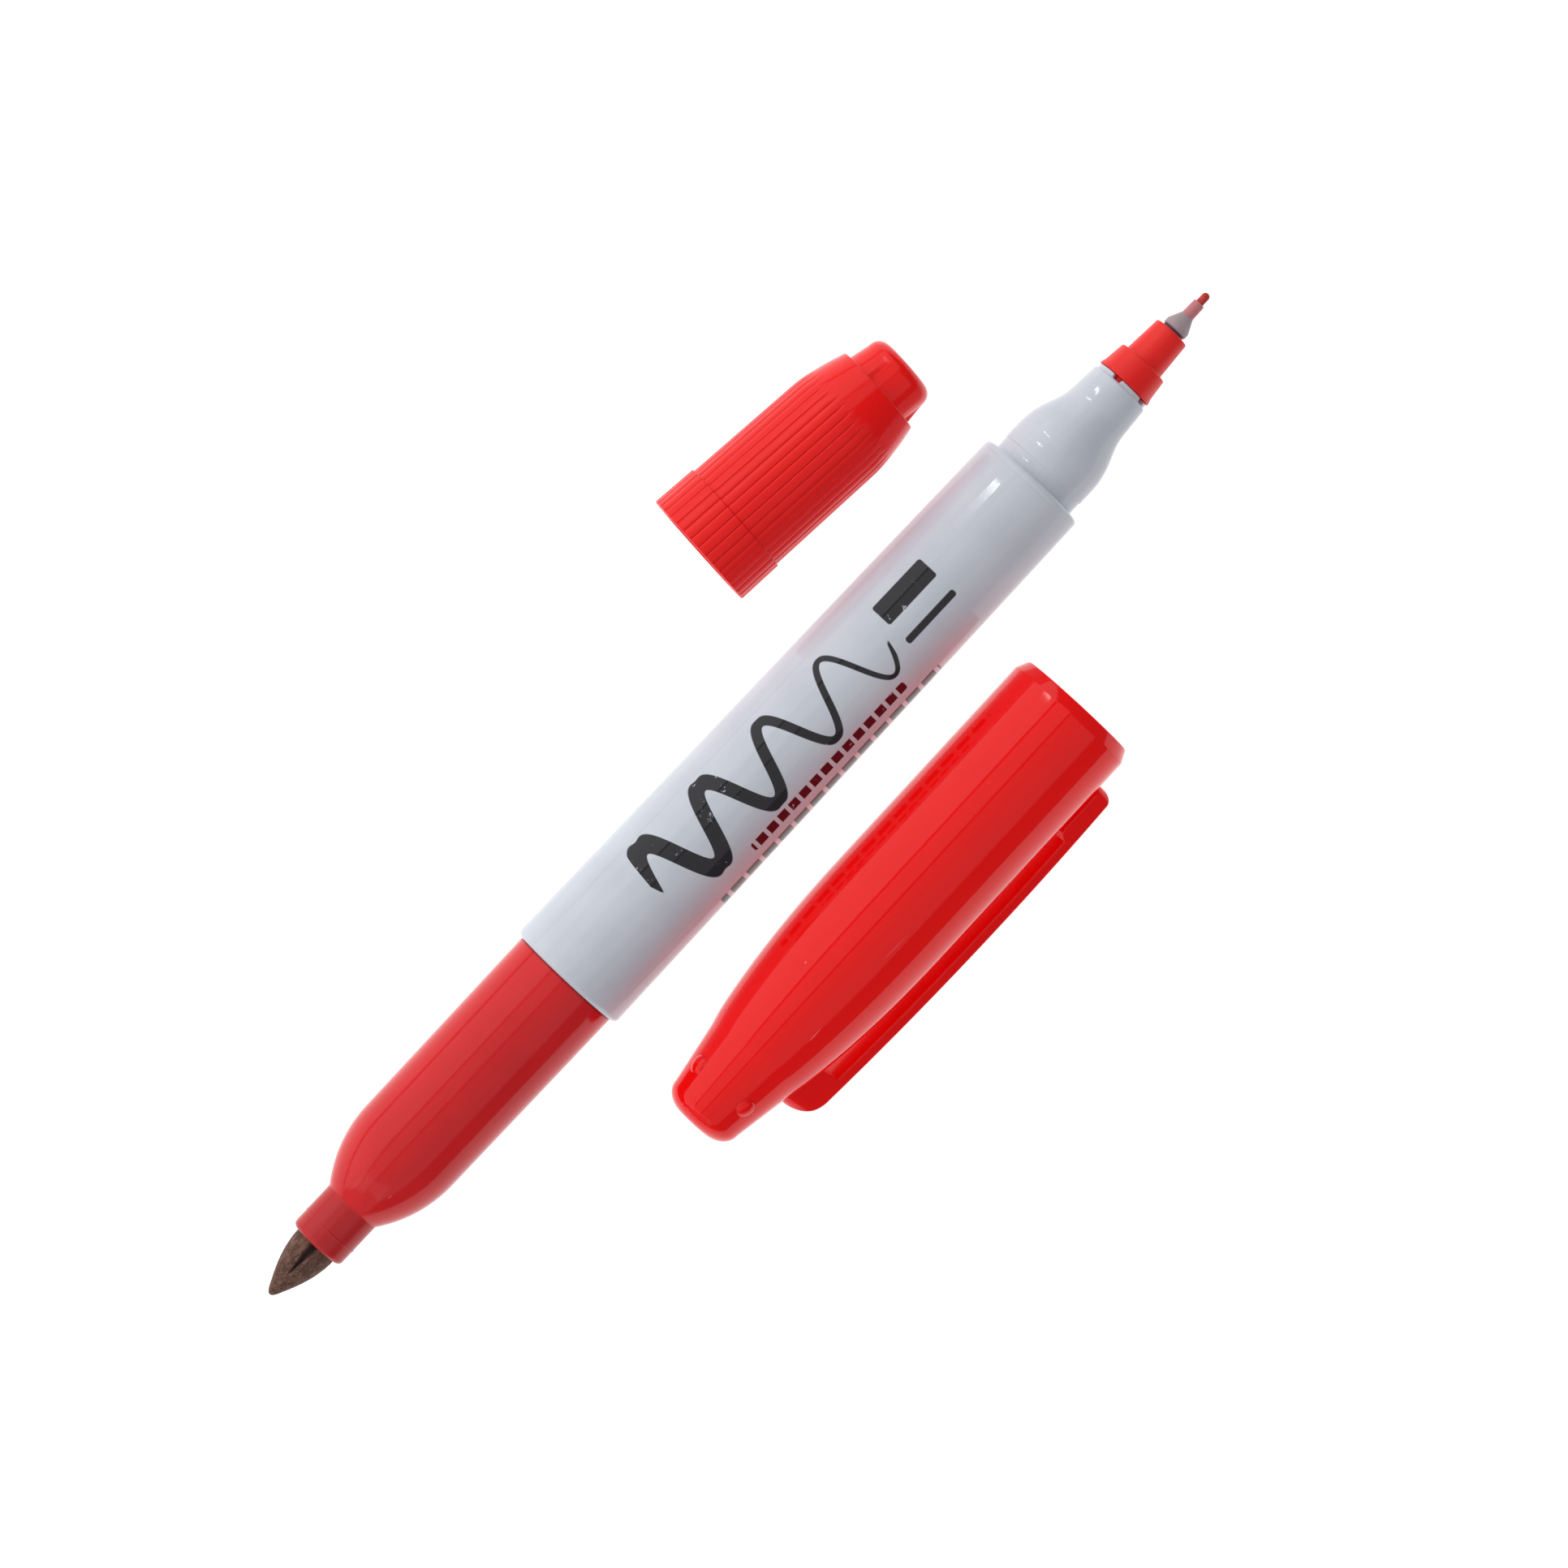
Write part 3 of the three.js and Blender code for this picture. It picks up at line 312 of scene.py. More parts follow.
barrel_profile = np.concatenate(
    [
        [[-half, SOCKET_R]],
        arc(-half + BULLET_ROUND, BARREL_BULLET_R - BULLET_ROUND, BULLET_ROUND, BULLET_ROUND, 180, 90),
        [[half - 0.9, BARREL_FINE_R + 0.01], [half - 0.8, BARREL_FINE_R - 0.03]],
        [[half - 0.7, BARREL_FINE_R]],
        arc(half - FINE_ROUND, BARREL_FINE_R - FINE_ROUND, FINE_ROUND, FINE_ROUND, 90, 0),
        [[half, groove_r], [groove_stop - 0.1, groove_r], [groove_stop, NECK_R]],
        bezier(
            (neck_end, NECK_R),
            (neck_end + 0.52 * (waist - neck_end), NECK_R),
            (waist - 0.4 * (waist - neck_end), NOSE_WAIST_R + 0.1),
            (waist, NOSE_WAIST_R),
        ),
        [[nose_end - 0.15, NOSE_END_R], [nose_end, NOSE_END_R - 0.12], [nose_end, CASTLE_R]],
        [[castle_end, CASTLE_R], [castle_end, NOSE_BORE_R], [half + 7.4, NOSE_BORE_R]],
        [[half + 3.8, NECK_BORE_R], [half - 0.6, NECK_BORE_R], [half - 1.4, BORE_R]],
        [[-half + SOCKET_DEPTH, BORE_R], [-half + SOCKET_DEPTH, SOCKET_R]],
    ]
)
barrel_profile = softened(barrel_profile, 0.12, closed=True)
barrel_profile = divided(barrel_profile, 2.0, -half, half - 1, BORE_R + 1)
print("barrel profile has", len(barrel_profile), "points")


# %% Castle notches and the barrel's skin
NOTCHES = 5
NOTCH_PHASE = math.radians(16)
NOTCH_WIDTH = 0.95
NOTCH_SIDE = 0.02
NOTCH_FLOOR = 0.03


def notched(x, r, a):
    """Presses the ring's front edge back to the nose's end wherever a lies in one of the notches,
    whose sides slope over NOTCH_SIDE radians."""
    pitch = 2 * math.pi / NOTCHES
    off = (a - NOTCH_PHASE + pitch / 2) % pitch - pitch / 2
    half_angle = NOTCH_WIDTH / 2 / CASTLE_R
    depth = np.clip((half_angle + NOTCH_SIDE - abs(off)) / NOTCH_SIDE, 0, 1)
    front = np.clip((x - nose_end) / CASTLE_LENGTH, 0, 1) * (r > NOSE_BORE_R - 0.05)
    return x - depth * front * (CASTLE_LENGTH - NOTCH_FLOOR), r, depth * (front > 0)


barrel = turned("barrel_moulding", barrel_profile, marker_place, 240, True, notched)
settle(barrel, "marker", "barrel_plastic", "barrel")

# %% [markdown]
# ## Front section
# The red section carries the bullet nib. Its sleeve plugs into the barrel, runs straight, and
# closes in a round dome onto a narrow collar.

# %% Front section
SLEEVE_R = 5.92
SLEEVE_END_R = 5.80
SLEEVE_LENGTH = 22.58
DOME_LENGTH = 8.2
COLLAR_R = 3.08
COLLAR_LENGTH = 5.24
COLLAR_ROUND = 0.5
SEAM_FROM_END = 2.0
SEAM_HEIGHT = 0.05
NIB_BORE_R = 2.45
PLUG_R = 5.6
PLUG_LENGTH = 11.5
BARREL_GAP = 0.012
sleeve_end = -half - SLEEVE_LENGTH
collar_root = sleeve_end - DOME_LENGTH
collar_end = collar_root - COLLAR_LENGTH
drop = SLEEVE_END_R - COLLAR_R
dome_r = (DOME_LENGTH**2 + drop**2) / (2 * drop)
dome_x = np.linspace(sleeve_end, collar_root, 40)
dome = np.stack([dome_x, SLEEVE_END_R - dome_r + np.sqrt(dome_r**2 - (dome_x - sleeve_end) ** 2)], 1)
seam, seam_r = collar_end + SEAM_FROM_END, COLLAR_R + SEAM_HEIGHT
plug_end = -half + PLUG_LENGTH
shoulder = -half - BARREL_GAP
section_profile = np.concatenate(
    [
        [[plug_end, BORE_R], [plug_end, PLUG_R - 0.25], [plug_end - 0.5, PLUG_R]],
        [[shoulder, PLUG_R], [shoulder, SLEEVE_R]],
        dome,
        [[seam + 0.14, COLLAR_R], [seam + 0.05, seam_r], [seam - 0.05, seam_r]],
        [[seam - 0.14, COLLAR_R]],
        arc(collar_end + COLLAR_ROUND, COLLAR_R - COLLAR_ROUND, COLLAR_ROUND, COLLAR_ROUND, 90, 180),
        [[collar_end, NIB_BORE_R], [sleeve_end - 6.4, NIB_BORE_R], [sleeve_end + 1, BORE_R]],
    ]
)
section_profile = softened(section_profile[::-1], 0.1, closed=True)
section_profile = divided(section_profile, 1.5, sleeve_end, -half, BORE_R + 0.9)
section = turned("front_section_moulding", section_profile, marker_place, 240, True)
settle(section, "marker", "section_plastic", "front_section")

# %% [markdown]
# ## Bullet nib
# The nib is a plug of pressed felt, ground to a bullet. Its surface is not smooth: fibres stand up
# and leave pits. A wedge-shaped groove runs along its top from the collar, where the felt was
# folded before it was pressed, and painted shade darkens it.

# %% Felt bullet
NIB_R = 2.35
OGIVE_LENGTH = 6.72
TIP_ROUND = 0.32
TIP_FADE = 0.9
NIB_CHAMFER = 0.9
RESERVOIR_INTO_SLEEVE = 20.4
NIB_IN_RESERVOIR = 4.88
bullet_tip = collar_end - OGIVE_LENGTH
nib_rear = -half - RESERVOIR_INTO_SLEEVE + NIB_IN_RESERVOIR
depth_in = OGIVE_LENGTH * np.linspace(0, 1, 90) ** 1.6
ogive = NIB_R * (1 - ((OGIVE_LENGTH - depth_in) / OGIVE_LENGTH) ** 2)
ogive = np.sqrt(ogive**2 + 2 * TIP_ROUND * depth_in * np.exp(-depth_in / TIP_FADE))
nib_outline = np.stack([bullet_tip + depth_in, ogive], 1)
nib_profile = np.concatenate(
    [nib_outline, [[nib_rear - NIB_CHAMFER, NIB_R], [nib_rear, NIB_R - NIB_CHAMFER], [nib_rear, 0]]]
)
print("bullet nib profile has", len(nib_profile), "points")

# %% Felt's roughness and groove
GROOVE_LENGTH = 3.9
GROOVE_DEPTH = 0.42
GROOVE_HIDDEN = 0.8
NAP = 0.009
FINE_NAP = 0.006
WORN_OFF = 0.012


def felted(x, r, a):
    """Roughens the felt by products of sines of uneven pitch, and sinks the groove along the top,
    a wedge whose half width is 0.1 + 0.62 run^1.3. The groove's hollow is also the shade, painted
    dark in the groove."""
    across = r * a
    nap = np.sin(9.1 * x + 5.3 * np.sin(3.7 * across)) * np.sin(11.3 * across + 2.1 * np.sin(5.9 * x))
    fine = np.sin(31 * x + 7 * np.sin(19 * across)) * np.sin(37 * across + 5 * np.sin(23 * x))
    shown = (x < collar_end) & (r > 0.02)
    r = r + (NAP * nap + FINE_NAP * fine - WORN_OFF) * shown
    off = np.abs((a + math.pi) % (2 * math.pi) - math.pi) * r
    run = np.clip((x - (collar_end - GROOVE_LENGTH)) / GROOVE_LENGTH, 0, 1)
    width = 0.1 + 0.62 * run**1.3
    hollow = np.clip(1.8 - 1.8 * off / width, 0, 1) * (run > 0)
    hollow = hollow * np.minimum(1, 4 * run)
    return x, r - GROOVE_DEPTH * hollow * (x < collar_end + GROOVE_HIDDEN), hollow


bullet = turned("bullet_nib_felt", nib_profile, marker_place, 160, False, felted)
settle(bullet, "marker", "bullet_felt", "bullet_nib")

# %% [markdown]
# ## Ferrule, pipe and fine nib
# The fine tip is three pieces, one inside the next: a red ferrule of two tiers, a thin grey pipe
# that narrows in a cone, and a fibre nib less than a millimetre thick with a round tip.

# %% Ferrule
FERRULE_BORE_R = 1.32
FERRULE_PLUG_R = 2.35
FERRULE_PLUG_LENGTH = 4.6
flange = castle_end + 0.05
ferrule_rear = castle_end - FERRULE_PLUG_LENGTH
ferrule_step = castle_end + 2.88
ferrule_end = ferrule_step + 4.12
ferrule_profile = softened(
    [
        [ferrule_rear, FERRULE_BORE_R],
        [ferrule_rear, FERRULE_PLUG_R - 0.3],
        [ferrule_rear + 0.5, FERRULE_PLUG_R],
        [flange, FERRULE_PLUG_R],
        [flange, 3.16],
        [flange + 0.25, 3.12],
        [flange + 0.6, 3.0],
        [ferrule_step - 0.12, 2.76],
        [ferrule_step, 2.66],
        [ferrule_step, 2.2],
        [ferrule_end - 0.1, 1.92],
        [ferrule_end, 1.82],
        [ferrule_end, FERRULE_BORE_R],
    ],
    0.09,
    closed=True,
)
ferrule = turned("fine_ferrule_moulding", ferrule_profile, marker_place, 144, True)
settle(ferrule, "marker", "ferrule_plastic", "fine_ferrule")

# %% Pipe and fine nib
PIPE_BORE_R = 0.5
PIPE_REAR_R = 1.22
PIPE_REAR_LENGTH = 5.2
PIPE_FLANGE_R = 1.34
FINE_NIB_R = 0.42
FINE_NIB_SHOWN = 1.28
RESERVOIR_FROM_END = 1.8
FINE_NIB_IN_RESERVOIR = 6
pipe_flange = ferrule_end + 0.28
pipe_rear = pipe_flange - PIPE_REAR_LENGTH
pipe_cone = pipe_flange + 0.62
pipe_tube = pipe_cone + 1.4
pipe_end = pipe_tube + 1.66
pipe_profile = softened(
    [
        [pipe_rear, PIPE_BORE_R],
        [pipe_rear, PIPE_REAR_R],
        [pipe_flange, PIPE_REAR_R],
        [pipe_flange + 0.08, PIPE_FLANGE_R],
        [pipe_cone, PIPE_FLANGE_R],
        [pipe_tube, 0.66],
        [pipe_end - 0.08, 0.63],
        [pipe_end, 0.57],
        [pipe_end, PIPE_BORE_R],
    ],
    0.12,
    closed=True,
)
pipe = turned("nib_pipe_moulding", pipe_profile, marker_place, 96, True)
settle(pipe, "marker", "pipe_plastic", "nib_pipe")

fine_tip = pipe_end + FINE_NIB_SHOWN
fine_rear = half - RESERVOIR_FROM_END - FINE_NIB_IN_RESERVOIR
tip_round = arc(fine_tip - FINE_NIB_R, 0, FINE_NIB_R, FINE_NIB_R, 90, 0, 14)
tip_round[-1, 1] = 0
fibre_profile = np.concatenate([[[fine_rear, 0], [fine_rear, FINE_NIB_R]], tip_round])
fine_nib = turned("fine_nib_fibre", fibre_profile, marker_place, 48)
settle(fine_nib, "marker", "fine_fibre", "fine_nib")

# %% [markdown]
# ## Broad cap
# The broad cap is a glossy shell that swells from its blunt end in a gentle curve. Near the closed
# end sit four small round bumps, a quarter turn apart, pressed out of the same grid so that the
# shell stays one skin. Its mouth is chamfered.

# %% Broad cap's outline
BROAD_END_R = 4.22
BROAD_END_ROUND = 2.0
BROAD_END_FLAT_R = 1.6
BROAD_CONE_LENGTH = 8.6
BROAD_CONE_R = 5.36
BROAD_TAPER_LENGTH = 30.0
BROAD_TAPER_POWER = 2.4
BROAD_BORE_R = 6.15
BROAD_WALL = 0.9
BROAD_END_WALL = 1.2
MOUTH_CHAMFER = 1.28
MOUTH_R = 6.39
KNEE = 0.13
KNEE_START = 7.9
KNEE_RUN = 2.6


def broad_radius(x):
    """The shell's outer radius: a cone, then BROAD_R less a share that shrinks as the distance left
    to the power BROAD_TAPER_POWER, then straight. The cone lies KNEE lower than the swell, and an
    S-curve joins the two."""
    x = np.asarray(x, float)
    cone = BROAD_END_R + (BROAD_CONE_R - BROAD_END_R) * (x - BROAD_END_ROUND) / (
        BROAD_CONE_LENGTH - BROAD_END_ROUND
    )
    left = np.clip((BROAD_TAPER_LENGTH - x) / (BROAD_TAPER_LENGTH - BROAD_CONE_LENGTH), 0, 1)
    swell = BROAD_R - (BROAD_R - BROAD_CONE_R) * left**BROAD_TAPER_POWER
    step = eased((x - KNEE_START) / KNEE_RUN)
    return np.where(x < BROAD_CONE_LENGTH, cone, swell) - KNEE * (1 - step)


end_drop = BROAD_END_R - KNEE - BROAD_END_FLAT_R
end_round = arc(BROAD_END_ROUND, BROAD_END_FLAT_R, BROAD_END_ROUND, end_drop, 180, 90, 24)
bump_x = np.linspace(3.6, 5.8, 37)
swell_x = np.linspace(BROAD_CONE_LENGTH - 0.4, BROAD_TAPER_LENGTH, 60)
bore_x = np.linspace(BROAD_CONE_LENGTH, BROAD_TAPER_LENGTH, 12)[::-1]
broad_profile = np.concatenate(
    [
        [[0, 0]],
        end_round,
        np.stack([bump_x, broad_radius(bump_x)], 1),
        np.stack([swell_x, broad_radius(swell_x)], 1),
        [[BROAD_LENGTH - MOUTH_CHAMFER, BROAD_R], [BROAD_LENGTH - 0.1, MOUTH_R + 0.1]],
        [[BROAD_LENGTH, MOUTH_R], [BROAD_LENGTH, BROAD_BORE_R]],
        np.stack([bore_x, np.minimum(broad_radius(bore_x) - BROAD_WALL, BROAD_BORE_R)], 1),
        [[BROAD_END_WALL + 1, 3.02], [BROAD_END_WALL, 2.12], [BROAD_END_WALL, 0]],
    ]
)
broad_profile = softened(broad_profile, 0.1)
broad_profile = divided(broad_profile, 2.0, BROAD_TAPER_LENGTH, BROAD_LENGTH - 1, BROAD_R - 0.3)
print("broad cap profile has", len(broad_profile), "points")


# %% Broad cap's bumps and skin
BUMP_X = 4.7
BUMP_R = 0.93
BUMP_HEIGHT = 0.3
BUMP_FROM_CLIP = math.radians(5)


def bumped(x, r, a):
    """Raises four round bumps: height = BUMP_HEIGHT (1 - d^2)^0.6, where d is the distance over the
    surface to the bump's middle, in bump radii. The shade marks a thin ring of painted shade
    round each."""
    quarter = math.pi / 2
    phase = -quarter - BUMP_FROM_CLIP
    off = (a - phase + quarter / 2) % quarter - quarter / 2
    outside = r > 4
    d = np.hypot(x - BUMP_X, off * r) / BUMP_R
    height = BUMP_HEIGHT * np.clip(1 - d**2, 0, 1) ** 0.6 * outside
    rim_shade = np.exp(-(((d - 1.05) / 0.07) ** 2)) * outside
    return x, r + height, rim_shade


broad_shell = turned("broad_cap_moulding", broad_profile, broad_place, 320, False, bumped)
settle(broad_shell, "broad_cap", "broad_cap_plastic", "broad_cap_shell")

# %% [markdown]
# ## Clip
# The clip is one moulding with the cap: a solid root, a long bowed blade, and a pad at its free end
# that grips a pocket. Here it is a section, a rounded box, carried along the cap. The sizes of the
# section are functions of the distance from the cap's closed end. On the real marker it flexes at its
# root.

# %% Clip's outline
CLIP_START = 7.4
CLIP_END = 51.7
CLIP_HALF_WIDTH = 2.1
CLIP_THICK = 1.27
CLIP_CREST_R = 9.74
CLIP_CREST_X = 36
CLIP_BEND = 0.00136
CLIP_SLOT = 12.4
CLIP_SLOT_RUN = 0.35
CLIP_PAD = 45.2
CLIP_PAD_RUN = 0.7
CLIP_PAD_GAP = 0.3
CLIP_BURIED = 0.45
ROOT_ROUND, TIP_END_ROUND = 3, 1
ROOT_PLAN_R, TIP_PLAN_R = 1.7, 1.1


def clip_bow(x):
    """The bow of the blade: a parabola with its crest at CLIP_CREST_X."""
    return CLIP_CREST_R - CLIP_BEND * (x - CLIP_CREST_X) ** 2


def clip_outer(x):
    """Distance of the blade's outer face from the cap's axis: the bow, rounded off at both ends."""
    root = np.clip(ROOT_ROUND - (x - CLIP_START), 0, ROOT_ROUND)
    tip = np.clip(TIP_END_ROUND - (CLIP_END - x), 0, TIP_END_ROUND)
    root_drop = ROOT_ROUND - np.sqrt(ROOT_ROUND**2 - root**2)
    return clip_bow(x) - root_drop - (TIP_END_ROUND - np.sqrt(TIP_END_ROUND**2 - tip**2))


def clip_inner(x):
    """Distance of the blade's inner face: in the shell at the root, one thickness under the outer
    face along the blade, and just off the shell at the pad."""
    buried = broad_radius(x) - CLIP_BURIED
    step = eased((x - CLIP_SLOT) / CLIP_SLOT_RUN)
    pad = eased((x - CLIP_PAD) / CLIP_PAD_RUN)
    blunt = 0.35 * np.clip((x - CLIP_END + 0.6) / 0.6, 0, 1) ** 2
    inner = buried * (1 - step) + (clip_bow(x) - CLIP_THICK) * step
    return inner * (1 - pad) + (BROAD_R + CLIP_PAD_GAP) * pad + blunt


def clip_half_width(x):
    """Half of the blade's width, rounded in plan by ROOT_PLAN_R at the root and TIP_PLAN_R at the tip."""
    root = np.clip(CLIP_START + ROOT_PLAN_R - x, 0, ROOT_PLAN_R)
    tip = np.clip(x - CLIP_END + TIP_PLAN_R, 0, TIP_PLAN_R)
    ends = np.sqrt(ROOT_PLAN_R**2 - root**2) + np.sqrt(TIP_PLAN_R**2 - tip**2)
    return CLIP_HALF_WIDTH - ROOT_PLAN_R - TIP_PLAN_R + ends


# %% Clip's skin
CLIP_EDGE = 0.24


def end_spaced(start, stop, count, reach=3.2):
    """Numbers from start to stop, close together within reach of either end."""
    t = np.linspace(0, 1, count)
    ends = start + reach * t**1.8, stop - reach * t[::-1] ** 1.8
    return np.unique(np.concatenate([ends[0], np.linspace(start, stop, 90), ends[1]]))


def rounded_box(height, width, edge, samples=7):
    """Sections with half sizes height and width: corner middle + edge * (cos t, sin t)."""
    edge = np.minimum(edge, 0.95 * np.minimum(height, width))[:, None]
    t = np.concatenate([np.linspace(q, q + math.pi / 2, samples) for q in np.arange(4) * math.pi / 2])
    side_h = np.repeat([1, -1, -1, 1], samples)[None, :] * (height[:, None] - edge)
    side_w = np.repeat([1, 1, -1, -1], samples)[None, :] * (width[:, None] - edge)
    return side_h + edge * np.cos(t), side_w + edge * np.sin(t)


clip_x = end_spaced(CLIP_START, CLIP_END, 26)
slot_x = np.linspace(CLIP_SLOT, CLIP_SLOT + CLIP_SLOT_RUN, 7)
clip_x = np.unique(np.concatenate([clip_x, slot_x]))
outer, inner, width = clip_outer(clip_x), clip_inner(clip_x), clip_half_width(clip_x)
up, across = rounded_box((outer - inner) / 2, width, CLIP_EDGE)
middle = ((outer + inner) / 2)[:, None]
poles = [0] + list(range(len(clip_x))) + [-1]
shrink = np.ones(len(poles))
shrink[[0, -1]] = 0
local = np.stack([clip_x[:, None] + 0 * up, -(middle + up), across], -1)[poles]
centre = local.mean(1, keepdims=True)
local = centre + (local - centre) * shrink[:, None, None]
clip_grid = (local @ broad_place[:3, :3].T + broad_place[:3, 3]) * MM
clip = skin("clip_moulding", clip_grid, clip_x[poles])


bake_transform(clip)
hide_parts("clip")
print("clip has", len(clip.data.polygons), "faces")

# %% [markdown]
# ## Fine cap
# The fine cap is ribbed for grip. Thirty-six grooves run along a band at the mouth and on along the
# body, and fade out before the shoulder. Two low wedges stand on the small button at the end. All
# of this is relief in one turned grid, so the ribs are real geometry and not only a shading.

# %% Fine cap's outline
FINE_BAND_LENGTH = 4.9
FINE_BODY_R = 6.14
FINE_BODY_END_R = 5.98
FINE_SHOULDER_R = 4.92
FINE_BUTTON_R = 3.93
BUTTON_LENGTH = 3.75
BUTTON_ROUND = 1.3
BUTTON_WALL = 1.3
FINE_EDGE = 0.14
FINE_BORE_R = 5.25
FINE_BORE_SHOULDER_R = 4.98
FINE_BORE_BUTTON_R = 3.92
SHOULDER_LENGTH = 5.95
SHOULDER_POWER = 1.6
FINE_GROOVES = 36
fine_button = FINE_LENGTH - BUTTON_LENGTH
fine_shoulder = fine_button - SHOULDER_LENGTH
fine_bore_end = fine_button - 0.9
groove_end = fine_button - 3.45
shoulder_x = np.linspace(fine_shoulder, fine_button, 26)
shoulder_share = (shoulder_x - fine_shoulder) / SHOULDER_LENGTH
shoulder_drop = (FINE_BODY_END_R - FINE_SHOULDER_R) * shoulder_share**SHOULDER_POWER
shoulder_r = FINE_BODY_END_R - shoulder_drop
inside_end = FINE_LENGTH - BUTTON_WALL
button_x, button_r = FINE_LENGTH - BUTTON_ROUND, FINE_BUTTON_R - BUTTON_ROUND
lobe_x = np.linspace(fine_button + 0.12, fine_button + 2.4, 9)
fine_outline = np.concatenate(
    [
        [[inside_end, 0], [inside_end, 2.4], [inside_end - 0.5, 2.7], [fine_button + 0.2, 2.7]],
        [[fine_bore_end, FINE_BORE_BUTTON_R], [fine_shoulder, FINE_BORE_SHOULDER_R]],
        [[0, FINE_BORE_R], [0, FINE_BAND_R - FINE_EDGE], [FINE_EDGE, FINE_BAND_R]],
        [[FINE_BAND_LENGTH, FINE_BAND_R - 0.08], [FINE_BAND_LENGTH, FINE_BODY_R]],
        np.stack([shoulder_x, shoulder_r], 1),
        [[fine_button, FINE_BUTTON_R]],
        np.stack([lobe_x, 0 * lobe_x + FINE_BUTTON_R], 1),
        arc(button_x, button_r, BUTTON_ROUND, BUTTON_ROUND, 90, 0, 12),
        [[FINE_LENGTH, 0]],
    ]
)
fine_profile = softened(fine_outline, 0.09)
fine_profile = divided(fine_profile, 0.7, 0.2, fine_shoulder + 0.1, 5.9)
print("fine cap profile has", len(fine_profile), "points")


# %% Fine cap's grooves, wedges and skin
GROOVE_SINK = 0.12
GROOVE_POWER = 0.32
GROOVE_SHADE_POWER = 2.4
COLUMNS_PER_GROOVE = 16
WEDGE_TURN = math.radians(57)
WEDGE_HALF_ANGLE = math.radians(40)
WEDGE_SIDE = math.radians(6)
WEDGE_HEIGHT = 0.35
WEDGE_LENGTH = 2.3


def ribbed(x, r, a):
    """Grooves: r - GROOVE_SINK (1 - |sin(FINE_GROOVES a / 2)|^GROOVE_POWER), fading at both ends,
    with painted shade in them, the shade being sunk^GROOVE_SHADE_POWER. Wedges: two, opposite each
    other, that stand proud at the shoulder and sink to nothing."""
    outside = r > 5.5
    fade = np.clip((x - 0.08) / 0.1, 0, 1) * np.clip((groove_end + 0.2 - x) / 1.4, 0, 1) * outside
    sunk = 1 - np.abs(np.sin(FINE_GROOVES * a / 2)) ** GROOVE_POWER
    off = (a - WEDGE_TURN + math.pi / 2) % math.pi - math.pi / 2
    wedge = np.clip((WEDGE_HALF_ANGLE - abs(off)) / WEDGE_SIDE, 0, 1)
    slope = np.clip(1 - (x - fine_button) / WEDGE_LENGTH, 0, 1)
    on_button = (r > 3.4) & (r < 4.4) & (x > fine_button - 0.02)
    lifted = WEDGE_HEIGHT * wedge * slope * on_button
    return x, r - GROOVE_SINK * sunk * fade + lifted, sunk**GROOVE_SHADE_POWER * fade


fine_columns = FINE_GROOVES * COLUMNS_PER_GROOVE
fine_shell = turned("fine_cap_moulding", fine_profile, fine_place, fine_columns, False, ribbed)
settle(fine_shell, "fine_cap", "fine_cap_plastic", "fine_cap_shell")

# %% [markdown]
# ## Inner seals
# Each cap holds a softer inner sleeve that closes round the nib and keeps the ink from drying. They
# only show down the mouths of the caps, so plain turned skins with soft edges are enough.

# %% Inner seals
SEAL_CLEARANCE = 0.3
BROAD_SEAL_R = 3.23
BROAD_SEAL_WALL = 0.75
broad_back = 10.81
broad_mouth = 24.28
broad_sleeve_r = BROAD_SEAL_R + BROAD_SEAL_WALL
broad_flange_r = float(broad_radius(broad_back)) - BROAD_WALL - SEAL_CLEARANCE
broad_seal_profile = softened(
    [
        [broad_back, 0],
        [broad_back, broad_flange_r],
        [broad_back + 1.2, broad_flange_r],
        [broad_back + 1.2, broad_sleeve_r],
        [broad_mouth - 0.4, broad_sleeve_r],
        [broad_mouth, broad_sleeve_r - 0.3],
        [broad_mouth, BROAD_SEAL_R],
        [broad_back + 1.75, BROAD_SEAL_R],
        [broad_back + 0.75, BROAD_SEAL_R - 0.8],
        [broad_back + 0.75, 0],
    ],
    0.15,
)
broad_seal = turned("broad_cap_seal_moulding", broad_seal_profile, broad_place, 96)
settle(broad_seal, "broad_cap", "seal_plastic", "broad_cap_seal")

FINE_SEAL_R = 2.4
FINE_SEAL_WALL = 0.65
FINE_SEAL_LENGTH = 5.8
fine_mouth = ferrule_step - half + 0.64
fine_back = fine_mouth + FINE_SEAL_LENGTH
fine_sleeve_r = FINE_SEAL_R + FINE_SEAL_WALL
seal_share = (fine_back - fine_shoulder) / (fine_bore_end - fine_shoulder)
bore_drop = (FINE_BORE_SHOULDER_R - FINE_BORE_BUTTON_R) * seal_share
fine_flange_r = FINE_BORE_SHOULDER_R - bore_drop - SEAL_CLEARANCE
fine_seal_profile = softened(
    [
        [fine_mouth, FINE_SEAL_R],
        [fine_mouth, fine_sleeve_r - 0.25],
        [fine_mouth + 0.3, fine_sleeve_r],
        [fine_back - 0.9, fine_sleeve_r],
        [fine_back - 0.9, fine_flange_r],
        [fine_back, fine_flange_r],
        [fine_back, FINE_SEAL_R],
    ],
    0.15,
    closed=True,
)
fine_seal = turned("fine_cap_seal_moulding", fine_seal_profile, fine_place, 96, True)
settle(fine_seal, "fine_cap", "seal_plastic", "fine_cap_seal")

# %% [markdown]
# ## Materials
# All the plastics are one kind of finish: a base colour that drifts slightly along the flow of the
# melt, fine scratches, a few specks of dust, and a faint grain in the gloss. One recipe makes them
# all from each piece's own colours.


# %% Shader helpers
def paint(red, green, blue):
    """The linear colour for a shader, from the screen's 0 to 255: ((c + 0.055) / 1.055)^2.4."""
    share = np.array([red, green, blue]) / 255
    linear = np.where(share <= 0.04045, share / 12.92, ((share + 0.055) / 1.055) ** 2.4)
    return (*linear.tolist(), 1.0)


